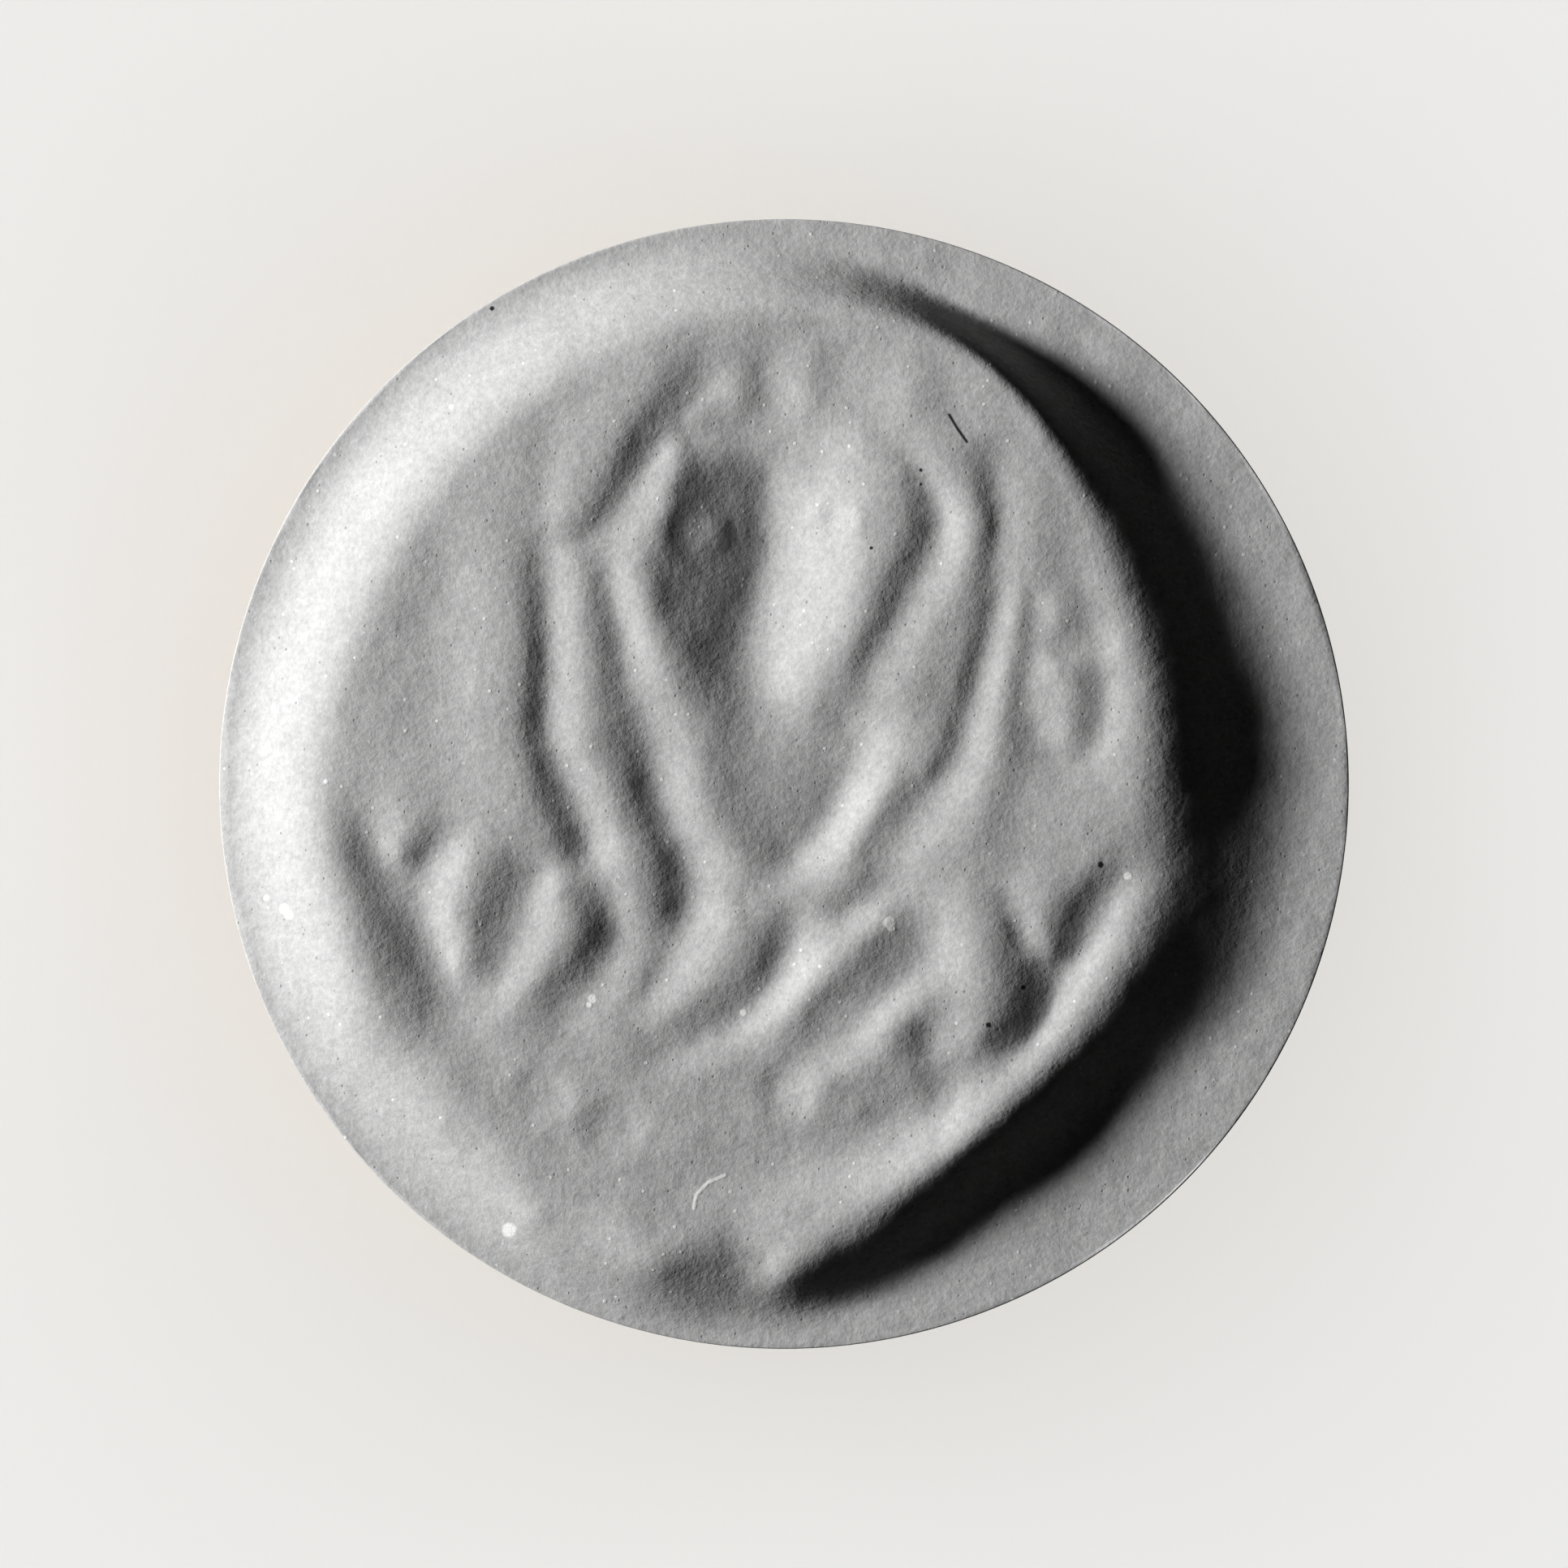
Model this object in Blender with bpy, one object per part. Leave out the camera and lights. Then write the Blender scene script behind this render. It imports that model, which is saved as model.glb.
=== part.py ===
# Hand seal stamp: a carved round face bedded in a brass cup, on a screw stud that turns out of a wooden handle.
# The stamp stands on its foot with the carved face up. The turning axis is Z, and lengths are in metres.

import math

import bmesh
import bpy

# Clearances
SEAT_GAP = 0.00025
BORE_GAP = 0.0002
THREAD_RADIAL_GAP = 0.0002
THREAD_FLANK_GAP = 0.00012

# How far a drill or cutter runs past the wall it goes through
CUTTER_OVERRUN = 0.0015

# Foot pad
PAD_RADIUS = 0.0086
PAD_THICKNESS = 0.0016
PAD_PROUD = 0.0006

# End cap under the handle
CAP_WALL = 0.0020
CAP_WEB = 0.0030
CAP_EDGE = 0.0007
CAP_SPIGOT_RADIUS = 0.0050
CAP_SPIGOT_HEIGHT = 0.0018

# Countersunk wood screw that holds the end cap
SCREW_HEAD_RADIUS = 0.0034
SCREW_HEAD_RIM = 0.0003
SCREW_CONE_HEIGHT = 0.0016
SCREW_CREST_RADIUS = 0.0018
SCREW_ROOT_RADIUS = 0.0013
SCREW_PITCH = 0.0014
SCREW_RIDGE_WIDTH = 0.00063
SCREW_CREST_WIDTH = 0.00017
SCREW_LENGTH = 0.0150
SCREW_TIP = 0.0020
SCREW_SLOT_WIDTH = 0.0008
SCREW_SLOT_DEPTH = 0.0007
SCREW_HEAD_SUNK = 0.0003

# Turned wooden handle
HANDLE_BODY_HEIGHT = 0.0425
HANDLE_FOOT_SETBACK = 0.0008
HANDLE_PALM_HEIGHT = 0.0085
HANDLE_WAIST_RADIUS = 0.0064
HANDLE_WAIST_HEIGHT = 0.0310
HANDLE_COLLAR_HEIGHT = 0.0016
HANDLE_LINE_DEPTH = 0.0004
HANDLE_LINE_SPACING = 0.0013
TENON_HEIGHT = 0.0080
TENON_WALL = 0.0018

# Ferrule round the tenon
FERRULE_WALL = 0.0010
FERRULE_LIP = 0.0008
FERRULE_LIP_OVERLAP = 0.0006
FERRULE_BEAD = 0.0004
FERRULE_BEAD_WIDTH = 0.0012
FERRULE_BEAD_SETBACK = 0.00125
FERRULE_PIN_RADIUS = 0.0006
FERRULE_PIN_DEPTH = 0.0010

# Thread between the stud and its insert
THREAD_PITCH = 0.0015
THREAD_CREST_RADIUS = 0.0040
THREAD_ROOT_RADIUS = 0.0031
THREAD_ROOT_WIDTH = 0.00095
THREAD_CREST_WIDTH = 0.00045
THREAD_BURIED = 0.0002
ENGAGED_TURNS = 6
INSERT_WALL = 0.0008
INSERT_BARB = 0.0003
INSERT_BARBS = 4
BARB_RISE_SHARE = 0.9
TOP_BARB_RISE_SHARE = 0.3
STUD_TIP = 0.0006

# Washer between the ferrule and the head
WASHER_THICKNESS = 0.0008
WASHER_WIDTH = 0.0030

# Brass cup that holds the carved piece
STUD_SPIGOT_RADIUS = 0.0034
BOSS_WALL = 0.0038
BOSS_HEIGHT = 0.0032
CUP_HEIGHT = 0.0098
CUP_WEB = 0.0011
CUP_RIM_WALL = 0.0024
CUP_RIM_HEIGHT = 0.0018
CUP_EDGE = 0.0003
LOCK_PIN_RADIUS = 0.0008
LOCK_PIN_SUNK = 0.00015

# Bed of setting cement
CEMENT_WALL = 0.0005
CEMENT_FLOOR = 0.0004

# Carved piece
FACE_RADIUS = 0.0120
FACE_EDGE = 0.00015
FLANGE_THICKNESS = 0.0032
FLANGE_CHAMFER = 0.0010
MATRIX_SPIGOT_RADIUS = 0.0072
MATRIX_SPIGOT_HEIGHT = 0.0028
FIELD_HEIGHT = 0.0011
FIELD_SLOPE_WIDTH = 0.0020

# The design is drawn on a face of this radius, and each point below is in millimetres from its centre,
# X to the right and Y up as the face is looked at.
DRAWN_FACE_RADIUS = 12.0
DRAWN_UNIT = 0.001

# Radius of the field's upper edge at even angles, from +X anticlockwise
FIELD_EDGE = (7.9, 8.1, 8.6, 9.2, 9.8, 10.1, 9.7, 9.6, 9.6, 9.5, 9.3, 9.3, 9.4, 9.0, 8.1, 7.6)

# The field is dished: how deep, where and how far out
DISH_DEPTH = 0.20
DISH_CENTRE = (-1.5, -0.5)
DISH_RADIUS = 8.5

# Lines cut into the field: depth, half width and the points each one runs through
GROOVES = {
    "left_arch": (0.20, 0.95, ((-0.3, 9.6), (-2.0, 8.3), (-3.4, 6.5), (-4.6, 5.1))),
    "left_outer_line": (0.22, 0.70, ((-5.2, 5.0), (-5.2, 1.6), (-4.6, -0.2), (-3.7, -2.8))),
    "left_inner_line": (0.26, 0.90, ((-3.9, 4.6), (-3.3, 2.3), (-2.75, 0.0), (-2.1, -2.2), (-2.9, -4.4))),
    "right_brow": (0.24, 0.95, ((2.2, 7.2), (3.2, 5.7), (2.4, 3.8), (1.3, 2.2))),
    "right_outer_line": (0.20, 0.65, ((4.5, 6.8), (4.5, 3.6), (3.9, 1.6), (2.4, -1.4))),
    "chin_line": (0.24, 0.85, ((1.5, 1.4), (1.2, -0.3), (-0.3, -1.7), (-1.8, -1.4))),
    "leaf_edge": (0.24, 1.00, ((-9.0, -0.8), (-8.1, -2.5), (-6.5, -5.2))),
    "first_leaf_line": (0.20, 0.70, ((-6.9, -1.0), (-7.8, -2.2))),
    "second_leaf_line": (0.20, 0.65, ((-5.3, -2.0), (-5.6, -3.5), (-6.5, -4.6))),
    "third_leaf_line": (0.26, 0.85, ((-3.7, -2.6), (-3.9, -3.8), (-4.8, -4.8))),
    "fourth_leaf_line": (0.26, 0.90, ((-0.1, -2.6), (-0.2, -4.2), (-2.5, -5.7))),
    "fifth_leaf_line": (0.24, 0.80, ((2.6, -3.5), (1.9, -4.7), (0.8, -5.5))),
    "right_rib_line": (0.22, 0.85, ((2.8, -2.4), (2.9, -4.4), (3.5, -6.0), (2.8, -7.4))),
    "upper_pocket": (0.26, 0.90, ((6.9, -2.3), (5.9, -3.7))),
    "lower_pocket": (0.34, 1.00, ((5.1, -3.4), (5.3, -4.8), (4.9, -5.6))),
}

# The long hollow of the head: depth, its two ends and half its width at each
HEAD_DEPTH = 0.62
HEAD_BROW = (-0.35, 6.7)
HEAD_NOSE = (-0.5, 2.3)
HEAD_BROW_HALF_WIDTH = 2.3
HEAD_NOSE_HALF_WIDTH = 1.3

# Small round pits: centre, radius and depth
EYES = {
    "left_eye": ((-1.6, 5.4), 0.55, 0.10),
    "right_eye": ((1.1, 5.6), 0.55, 0.10),
}

# Shares of a bead's width and height at the points of its round
BEAD_CURVE = ((0.0, 0.0), (0.2, 0.7), (0.5, 1.0), (0.8, 0.7), (1.0, 0.0))

# A thread ridge runs out over a few steps, down to this share of its height
RUNOUT_SHARE = 0.2
THREAD_RUNOUT_STEPS = 4
SCREW_RUNOUT_STEPS = 2

# Facets
LARGE_SIDES = 36
SMALL_SIDES = 16
SMALL_PIN_SIDES = 12
THREAD_STEPS = 16
SCREW_STEPS = 10
EDGE_STEPS = 2
CUP_CURVE_STEPS = 7
FOOT_CURVE_STEPS = 5
PALM_CURVE_STEPS = 10
NECK_CURVE_STEPS = 6
LINE_STEPS = 6
FACE_CELLS = 36
MERGE_DISTANCE = 1e-7
SHARP_ANGLE = 35

# Sizes that follow from the ones above
thread_bore_radius = THREAD_ROOT_RADIUS + THREAD_RADIAL_GAP
thread_groove_radius = THREAD_CREST_RADIUS + THREAD_RADIAL_GAP
insert_radius = thread_groove_radius + INSERT_WALL
insert_bore_radius = insert_radius + BORE_GAP
insert_length = (ENGAGED_TURNS + 1) * THREAD_PITCH
tenon_radius = insert_bore_radius + TENON_WALL
ferrule_inner_radius = tenon_radius + BORE_GAP
ferrule_radius = ferrule_inner_radius + FERRULE_WALL
cap_radius = PAD_RADIUS + BORE_GAP + CAP_WALL
palm_radius = cap_radius
foot_radius = palm_radius - HANDLE_FOOT_SETBACK
boss_radius = STUD_SPIGOT_RADIUS + BORE_GAP + BOSS_WALL
cement_inner_radius = MATRIX_SPIGOT_RADIUS + BORE_GAP
cement_radius = cement_inner_radius + CEMENT_WALL
recess_radius = cement_radius + BORE_GAP
cup_radius = recess_radius + CUP_RIM_WALL
recess_depth = MATRIX_SPIGOT_HEIGHT + CEMENT_FLOOR + SEAT_GAP
stud_bore_depth = CUP_HEIGHT - recess_depth - CUP_WEB
stud_spigot_height = stud_bore_depth - SEAT_GAP
washer_inner_radius = THREAD_CREST_RADIUS + 2 * THREAD_RADIAL_GAP
ferrule_lip_radius = insert_radius - FERRULE_LIP_OVERLAP

# Heights, from the surface the stamp stands on
pad_seat = PAD_THICKNESS + SEAT_GAP
cap_top = pad_seat + CAP_WEB
handle_bottom = cap_top + SEAT_GAP
shoulder_height = handle_bottom + HANDLE_BODY_HEIGHT
tenon_top = shoulder_height + TENON_HEIGHT
insert_bottom = tenon_top - insert_length
ferrule_bottom = shoulder_height + SEAT_GAP
lip_seat = tenon_top + SEAT_GAP
ferrule_top = lip_seat + FERRULE_LIP
washer_bottom = ferrule_top + SEAT_GAP
boss_bottom = washer_bottom + WASHER_THICKNESS + SEAT_GAP
rim_top = boss_bottom + CUP_HEIGHT
recess_floor = rim_top - recess_depth
flange_bottom = rim_top + SEAT_GAP
stud_bottom = tenon_top - ENGAGED_TURNS * THREAD_PITCH - STUD_TIP
screw_bottom = pad_seat + SCREW_HEAD_SUNK
lock_pin_height = boss_bottom + BOSS_HEIGHT / 2
ferrule_pin_height = (ferrule_bottom + lip_seat) / 2


def makeMaterial(name, colour, roughness, metallic):
    material = bpy.data.materials.new(name)
    material.use_nodes = True
    shader = material.node_tree.nodes["Principled BSDF"]
    shader.inputs["Base Color"].default_value = (*colour, 1.0)
    shader.inputs["Roughness"].default_value = roughness
    shader.inputs["Metallic"].default_value = metallic
    material.diffuse_color = (*colour, 1.0)
    return material


def addObject(name, bm, material, parent, height=0.0):
    """Turn a bmesh into a named object that stands at a height on the turning axis."""
    bmesh.ops.remove_doubles(bm, verts=bm.verts, dist=MERGE_DISTANCE)
    bmesh.ops.recalc_face_normals(bm, faces=bm.faces)
    mesh = bpy.data.meshes.new(name)
    bm.to_mesh(mesh)
    bm.free()
    mesh.shade_smooth()
    mesh.set_sharp_from_angle(angle=math.radians(SHARP_ANGLE))
    made = bpy.data.objects.new(name, mesh)
    bpy.context.collection.objects.link(made)
    if material:
        made.data.materials.append(material)
    else:
        made.hide_render = True
        made.display_type = "WIRE"
    made.parent = parent
    made.location.z = height
    return made


def turnedMesh(profile, sides, closed):
    """Spin a profile of radius and height about Z. An open profile starts and ends on the axis."""
    bm = bmesh.new()
    verts = [bm.verts.new((radius, 0.0, height)) for radius, height in profile]
    following = verts[1:] + verts[:1] if closed else verts[1:]
    edges = [bm.edges.new(pair) for pair in zip(verts, following)]
    bmesh.ops.spin(
        bm, geom=verts + edges, cent=(0, 0, 0), axis=(0, 0, 1),
        angle=math.tau, steps=sides, use_merge=True,
    )
    return bm


def sCurve(start, end, steps):
    """Points of a smooth turned curve between two radius and height pairs, ends left out."""
    points = []
    for step in range(1, steps):
        share = step / steps
        ease = (1 - math.cos(math.pi * share)) / 2
        radius = start[0] + (end[0] - start[0]) * ease
        points.append((radius, start[1] + (end[1] - start[1]) * share))
    return points


def roundEdge(radius, height, size, rising):
    """A quarter round between a side wall and a flat, at an outer corner."""
    points = []
    for step in range(EDGE_STEPS + 1):
        turn = math.pi / 2 * step / EDGE_STEPS
        inward = size * (1 - math.cos(turn))
        along = size * (1 - math.sin(turn))
        points.append((radius - inward, height - along))
    if rising:
        return points
    return [(r, 2 * height - z) for r, z in reversed(points)]


def crossCylinder(name, radius, start, end, height, material, parent, sides=SMALL_SIDES):
    """A round pin or drill along X between two places."""
    bm = bmesh.new()
    bmesh.ops.create_cone(bm, cap_ends=True, segments=sides, radius1=radius, radius2=radius, depth=end - start)
    for vert in bm.verts:
        vert.co.x, vert.co.z = vert.co.z, -vert.co.x
        vert.co.x += (start + end) / 2
    return addObject(name, bm, material, parent, height)


def helixRidge(name, buried_radius, crest_radius, root_width, crest_width, pitch, start, end, steps, runout):
    """A thread ridge as one trapezoid carried up a helix. With a runout its ends sink towards the core."""
    count = max(2, round((end - start) / pitch * steps))
    bm = bmesh.new()
    sections = []
    for index in range(count + 1):
        centre = start + pitch * index / steps
        turn = math.tau * index / steps
        grown = min(1.0, index / runout, (count - index) / runout) if runout else 1.0
        share = RUNOUT_SHARE + (1 - RUNOUT_SHARE) * grown
        crest = buried_radius + (crest_radius - buried_radius) * share
        half_crest = (root_width + (crest_width - root_width) * share) / 2
        corners = (
            (buried_radius, -root_width / 2), (crest, -half_crest),
            (crest, half_crest), (buried_radius, root_width / 2),
        )
        sections.append([
            bm.verts.new((r * math.cos(turn), r * math.sin(turn), centre + z)) for r, z in corners
        ])
    for lower, upper in zip(sections, sections[1:]):
        for side in range(4):
            after = (side + 1) % 4
            bm.faces.new((lower[side], lower[after], upper[after], upper[side]))
    bm.faces.new(sections[0])
    bm.faces.new(sections[-1])
    return addObject(name, bm, None, None)


def useBoolean(target, tool, operation):
    modifier = target.modifiers.new(tool.name, "BOOLEAN")
    modifier.operation = operation
    modifier.solver = "EXACT"
    modifier.object = tool


def smoothPath(points):
    """A Catmull-Rom curve through hand-placed points."""
    if len(points) == 2:
        return list(points)
    ends = [points[0], *points, points[-1]]
    path = []
    for before, start, end, after in zip(ends, ends[1:], ends[2:], ends[3:]):
        for step in range(LINE_STEPS):
            t = step / LINE_STEPS
            path.append(tuple(
                0.5 * (2 * b + (c - a) * t + (2 * a - 5 * b + 4 * c - d) * t * t
                       + (3 * b - a - 3 * c + d) * t ** 3)
                for a, b, c, d in zip(before, start, end, after)
            ))
    return path + [points[-1]]


def distanceToPath(x, y, path):
    nearest = math.inf
    for (ax, ay), (bx, by) in zip(path, path[1:]):
        dx, dy = bx - ax, by - ay
        share = max(0.0, min(1.0, ((x - ax) * dx + (y - ay) * dy) / (dx * dx + dy * dy)))
        nearest = min(nearest, math.hypot(x - ax - share * dx, y - ay - share * dy))
    return nearest


def easeOut(share):
    """One at nought and below, nought at one and above, level at both ends."""
    share = max(0.0, min(1.0, share))
    return 1 - share * share * (3 - 2 * share)


def fieldEdgeRadius(angle):
    """Radius of the field's upper edge, eased between the values of FIELD_EDGE."""
    place = (angle / math.tau % 1.0) * len(FIELD_EDGE)
    index = int(place)
    here = FIELD_EDGE[index % len(FIELD_EDGE)]
    following = FIELD_EDGE[(index + 1) % len(FIELD_EDGE)]
    return following + (here - following) * easeOut(place - index)


def headCut(x, y):
    """Depth of the head's hollow, a trough with straight sides that narrows to the nose."""
    length = HEAD_BROW[1] - HEAD_NOSE[1]
    down = max(0.0, min(1.0, (HEAD_BROW[1] - y) / length))
    middle = HEAD_BROW[0] + (HEAD_NOSE[0] - HEAD_BROW[0]) * down
    half_width = HEAD_BROW_HALF_WIDTH + (HEAD_NOSE_HALF_WIDTH - HEAD_BROW_HALF_WIDTH) * down
    beyond = max(0.0, y - HEAD_BROW[1], HEAD_NOSE[1] - y)
    across = math.hypot((x - middle) / half_width, beyond / HEAD_NOSE_HALF_WIDTH)
    return HEAD_DEPTH * max(0.0, 1 - across)


def carvedHeight(x, y, paths):
    """Height above the shoulder ring, in drawn millimetres, at a drawn place on the face."""
    slope = FIELD_SLOPE_WIDTH / DRAWN_UNIT
    field = easeOut((math.hypot(x, y) - fieldEdgeRadius(math.atan2(y, x))) / slope)
    cut = DISH_DEPTH * easeOut(math.hypot(x - DISH_CENTRE[0], y - DISH_CENTRE[1]) / DISH_RADIUS)
    lines = 0.0
    for name, (depth, half_width, _) in GROOVES.items():
        lines = max(lines, depth * easeOut(distanceToPath(x, y, paths[name]) / half_width))
    for centre, radius, depth in EYES.values():
        cut += depth * easeOut(math.hypot(x - centre[0], y - centre[1]) / radius)
    return field * FIELD_HEIGHT / DRAWN_UNIT - cut - max(lines, headCut(x, y))


def buildMatrix(material, parent):
    """The carved piece: a square grid drawn out to a disc on top, then rings down to the spigot."""
    drawn_size = DRAWN_FACE_RADIUS / FACE_RADIUS
    paths = {name: smoothPath(points) for name, (_, _, points) in GROOVES.items()}
    top_radius = FACE_RADIUS - FACE_EDGE
    bm = bmesh.new()
    rows = []
    for row in range(FACE_CELLS + 1):
        v = 2 * row / FACE_CELLS - 1
        line = []
        for column in range(FACE_CELLS + 1):
            u = 2 * column / FACE_CELLS - 1
            x = top_radius * u * math.sqrt(1 - v * v / 2)
            y = top_radius * v * math.sqrt(1 - u * u / 2)
            on_rim = row in (0, FACE_CELLS) or column in (0, FACE_CELLS)
            rise = 0.0 if on_rim else carvedHeight(x * drawn_size, y * drawn_size, paths) * DRAWN_UNIT
            line.append(bm.verts.new((x, y, FLANGE_THICKNESS + rise)))
        rows.append(line)
    for lower, upper in zip(rows, rows[1:]):
        for a, b, c, d in zip(lower, lower[1:], upper[1:], upper):
            bm.faces.new((a, b, c, d))
    loop = rows[0][:-1] + [line[-1] for line in rows[:-1]] + rows[-1][:0:-1] + [line[0] for line in rows[:0:-1]]
    side = (
        (FACE_RADIUS, FLANGE_THICKNESS - FACE_EDGE),
        (FACE_RADIUS, FLANGE_CHAMFER),
        (FACE_RADIUS - FLANGE_CHAMFER, 0.0),
        (MATRIX_SPIGOT_RADIUS, 0.0),
        (MATRIX_SPIGOT_RADIUS, -MATRIX_SPIGOT_HEIGHT),
    )
    for radius, height in side:
        ring = []
        for vert in loop:
            turn = math.atan2(vert.co.y, vert.co.x)
            ring.append(bm.verts.new((radius * math.cos(turn), radius * math.sin(turn), height)))
        for a, b, c, d in zip(loop, loop[1:] + loop[:1], ring[1:] + ring[:1], ring):
            bm.faces.new((a, b, c, d))
        loop = ring
    bm.faces.new(loop)
    return addObject("seal_matrix", bm, material, parent, flange_bottom)


def buildCementBed(material, parent):
    wall_height = recess_depth - SEAT_GAP
    profile = (
        (0.0, 0.0), (cement_radius, 0.0), (cement_radius, wall_height),
        (cement_inner_radius, wall_height), (cement_inner_radius, CEMENT_FLOOR), (0.0, CEMENT_FLOOR),
    )
    bm = turnedMesh(profile, LARGE_SIDES, closed=False)
    return addObject("cement_bed", bm, material, parent, recess_floor + SEAT_GAP)


def buildHeadCup(material, parent):
    bore = STUD_SPIGOT_RADIUS + BORE_GAP
    rim_bottom = CUP_HEIGHT - CUP_RIM_HEIGHT
    recess_bottom = CUP_HEIGHT - recess_depth
    profile = [
        (0.0, stud_bore_depth), (bore, stud_bore_depth), (bore, 0.0),
        *roundEdge(boss_radius, 0.0, CUP_EDGE, rising=False),
        (boss_radius, BOSS_HEIGHT),
        *sCurve((boss_radius, BOSS_HEIGHT), (cup_radius, rim_bottom), CUP_CURVE_STEPS),
        (cup_radius, rim_bottom),
        *roundEdge(cup_radius, CUP_HEIGHT, CUP_EDGE, rising=True),
        (recess_radius, CUP_HEIGHT), (recess_radius, recess_bottom), (0.0, recess_bottom),
    ]
    bm = turnedMesh(profile, LARGE_SIDES, closed=False)
    cup = addObject("head_cup", bm, material, parent, boss_bottom)
    reach = boss_radius + CUTTER_OVERRUN
    drill = crossCylinder(
        "lock_pin_drill", LOCK_PIN_RADIUS + BORE_GAP, -reach, reach, lock_pin_height, None, None,
    )
    useBoolean(cup, drill, "DIFFERENCE")
    return cup, drill


def buildStud(material, parent, drill):
    """A turned rod with a spigot for the cup's boss and a thread for the insert."""
    thread_top = washer_bottom
    profile = (
        (0.0, stud_bottom),
        (THREAD_ROOT_RADIUS - STUD_TIP, stud_bottom),
        (THREAD_ROOT_RADIUS, stud_bottom + STUD_TIP),
        (THREAD_ROOT_RADIUS, thread_top),
        (STUD_SPIGOT_RADIUS, boss_bottom),
        (STUD_SPIGOT_RADIUS, boss_bottom + stud_spigot_height),
        (0.0, boss_bottom + stud_spigot_height),
    )
    stud = addObject("threaded_stud", turnedMesh(profile, SMALL_SIDES, closed=False), material, parent)
    start = stud_bottom + STUD_TIP + THREAD_ROOT_WIDTH / 2
    ridge = helixRidge(
        "stud_thread_ridge", THREAD_ROOT_RADIUS - THREAD_BURIED, THREAD_CREST_RADIUS,
        THREAD_ROOT_WIDTH, THREAD_CREST_WIDTH, THREAD_PITCH,
        start, thread_top - THREAD_ROOT_WIDTH / 2, THREAD_STEPS, THREAD_RUNOUT_STEPS,
    )
    useBoolean(stud, ridge, "UNION")
    useBoolean(stud, drill, "DIFFERENCE")
    return stud


def buildInsert(material, parent):
    """A barbed sleeve in the handle with the matching thread cut through it."""
    profile = [(thread_bore_radius, 0.0), (insert_radius - INSERT_BARB, 0.0)]
    barb_pitch = insert_length / (INSERT_BARBS + 1)
    for barb in range(INSERT_BARBS):
        profile.append((insert_radius, barb_pitch * (barb + BARB_RISE_SHARE)))
        profile.append((insert_radius - INSERT_BARB, barb_pitch * (barb + 1)))
    profile += [
        (insert_radius, barb_pitch * (INSERT_BARBS + TOP_BARB_RISE_SHARE)),
        (insert_radius, insert_length), (thread_bore_radius, insert_length),
    ]
    bm = turnedMesh(profile, SMALL_SIDES, closed=True)
    insert = addObject("threaded_insert", bm, material, parent, insert_bottom)
    first = stud_bottom + STUD_TIP + THREAD_ROOT_WIDTH / 2
    turns_below = math.ceil((first - insert_bottom) / THREAD_PITCH) + 1
    groove = helixRidge(
        "insert_thread_cutter", thread_bore_radius - THREAD_BURIED, thread_groove_radius,
        THREAD_ROOT_WIDTH + 2 * THREAD_FLANK_GAP, THREAD_CREST_WIDTH + 2 * THREAD_FLANK_GAP, THREAD_PITCH,
        first - turns_below * THREAD_PITCH, tenon_top + CUTTER_OVERRUN, THREAD_STEPS, runout=0,
    )
    useBoolean(insert, groove, "DIFFERENCE")
    return insert


def buildLockPin(material, parent):
    reach = boss_radius - LOCK_PIN_SUNK
    return crossCylinder("stud_lock_pin", LOCK_PIN_RADIUS, -reach, reach, lock_pin_height, material, parent)


def buildSeatWasher(material, parent):
    outer = washer_inner_radius + WASHER_WIDTH
    profile = (
        (washer_inner_radius, 0.0), (outer, 0.0),
        (outer, WASHER_THICKNESS), (washer_inner_radius, WASHER_THICKNESS),
    )
    bm = turnedMesh(profile, LARGE_SIDES, closed=True)
    return addObject("seat_washer", bm, material, parent, washer_bottom)


def buildFerrule(material, parent, drills):
    height = ferrule_top - ferrule_bottom
    seat = lip_seat - ferrule_bottom
    beads = []
    for low in (0.0, height - FERRULE_BEAD_SETBACK - FERRULE_BEAD_WIDTH):
        beads += [
            (ferrule_radius + FERRULE_BEAD * rise, low + FERRULE_BEAD_WIDTH * along)
            for along, rise in BEAD_CURVE
        ]
    profile = [
        (ferrule_inner_radius, 0.0), *beads,
        *roundEdge(ferrule_radius, height, FERRULE_LIP / 2, rising=True),
        (ferrule_lip_radius, height), (ferrule_lip_radius, seat), (ferrule_inner_radius, seat),
    ]
    bm = turnedMesh(profile, LARGE_SIDES, closed=True)
    ferrule = addObject("ferrule", bm, material, parent, ferrule_bottom)
    for drill in drills:
        useBoolean(ferrule, drill, "DIFFERENCE")
    return ferrule


def buildFerrulePins(material, parent):
    """Two short pins through the ferrule wall into the tenon, and the drills for their holes."""
    drills = []
    for side, sign in (("right", 1), ("left", -1)):
        inner = tenon_radius - FERRULE_PIN_DEPTH
        span = sorted((sign * inner, sign * ferrule_radius))
        crossCylinder(
            f"ferrule_pin_{side}", FERRULE_PIN_RADIUS, *span, ferrule_pin_height, material, parent,
            sides=SMALL_PIN_SIDES,
        )
        span = sorted((sign * (inner - SEAT_GAP), sign * (ferrule_radius + CUTTER_OVERRUN)))
        drills.append(crossCylinder(
            f"ferrule_pin_drill_{side}", FERRULE_PIN_RADIUS + BORE_GAP, *span, ferrule_pin_height, None, None,
            sides=SMALL_PIN_SIDES,
        ))
    return drills


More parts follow.
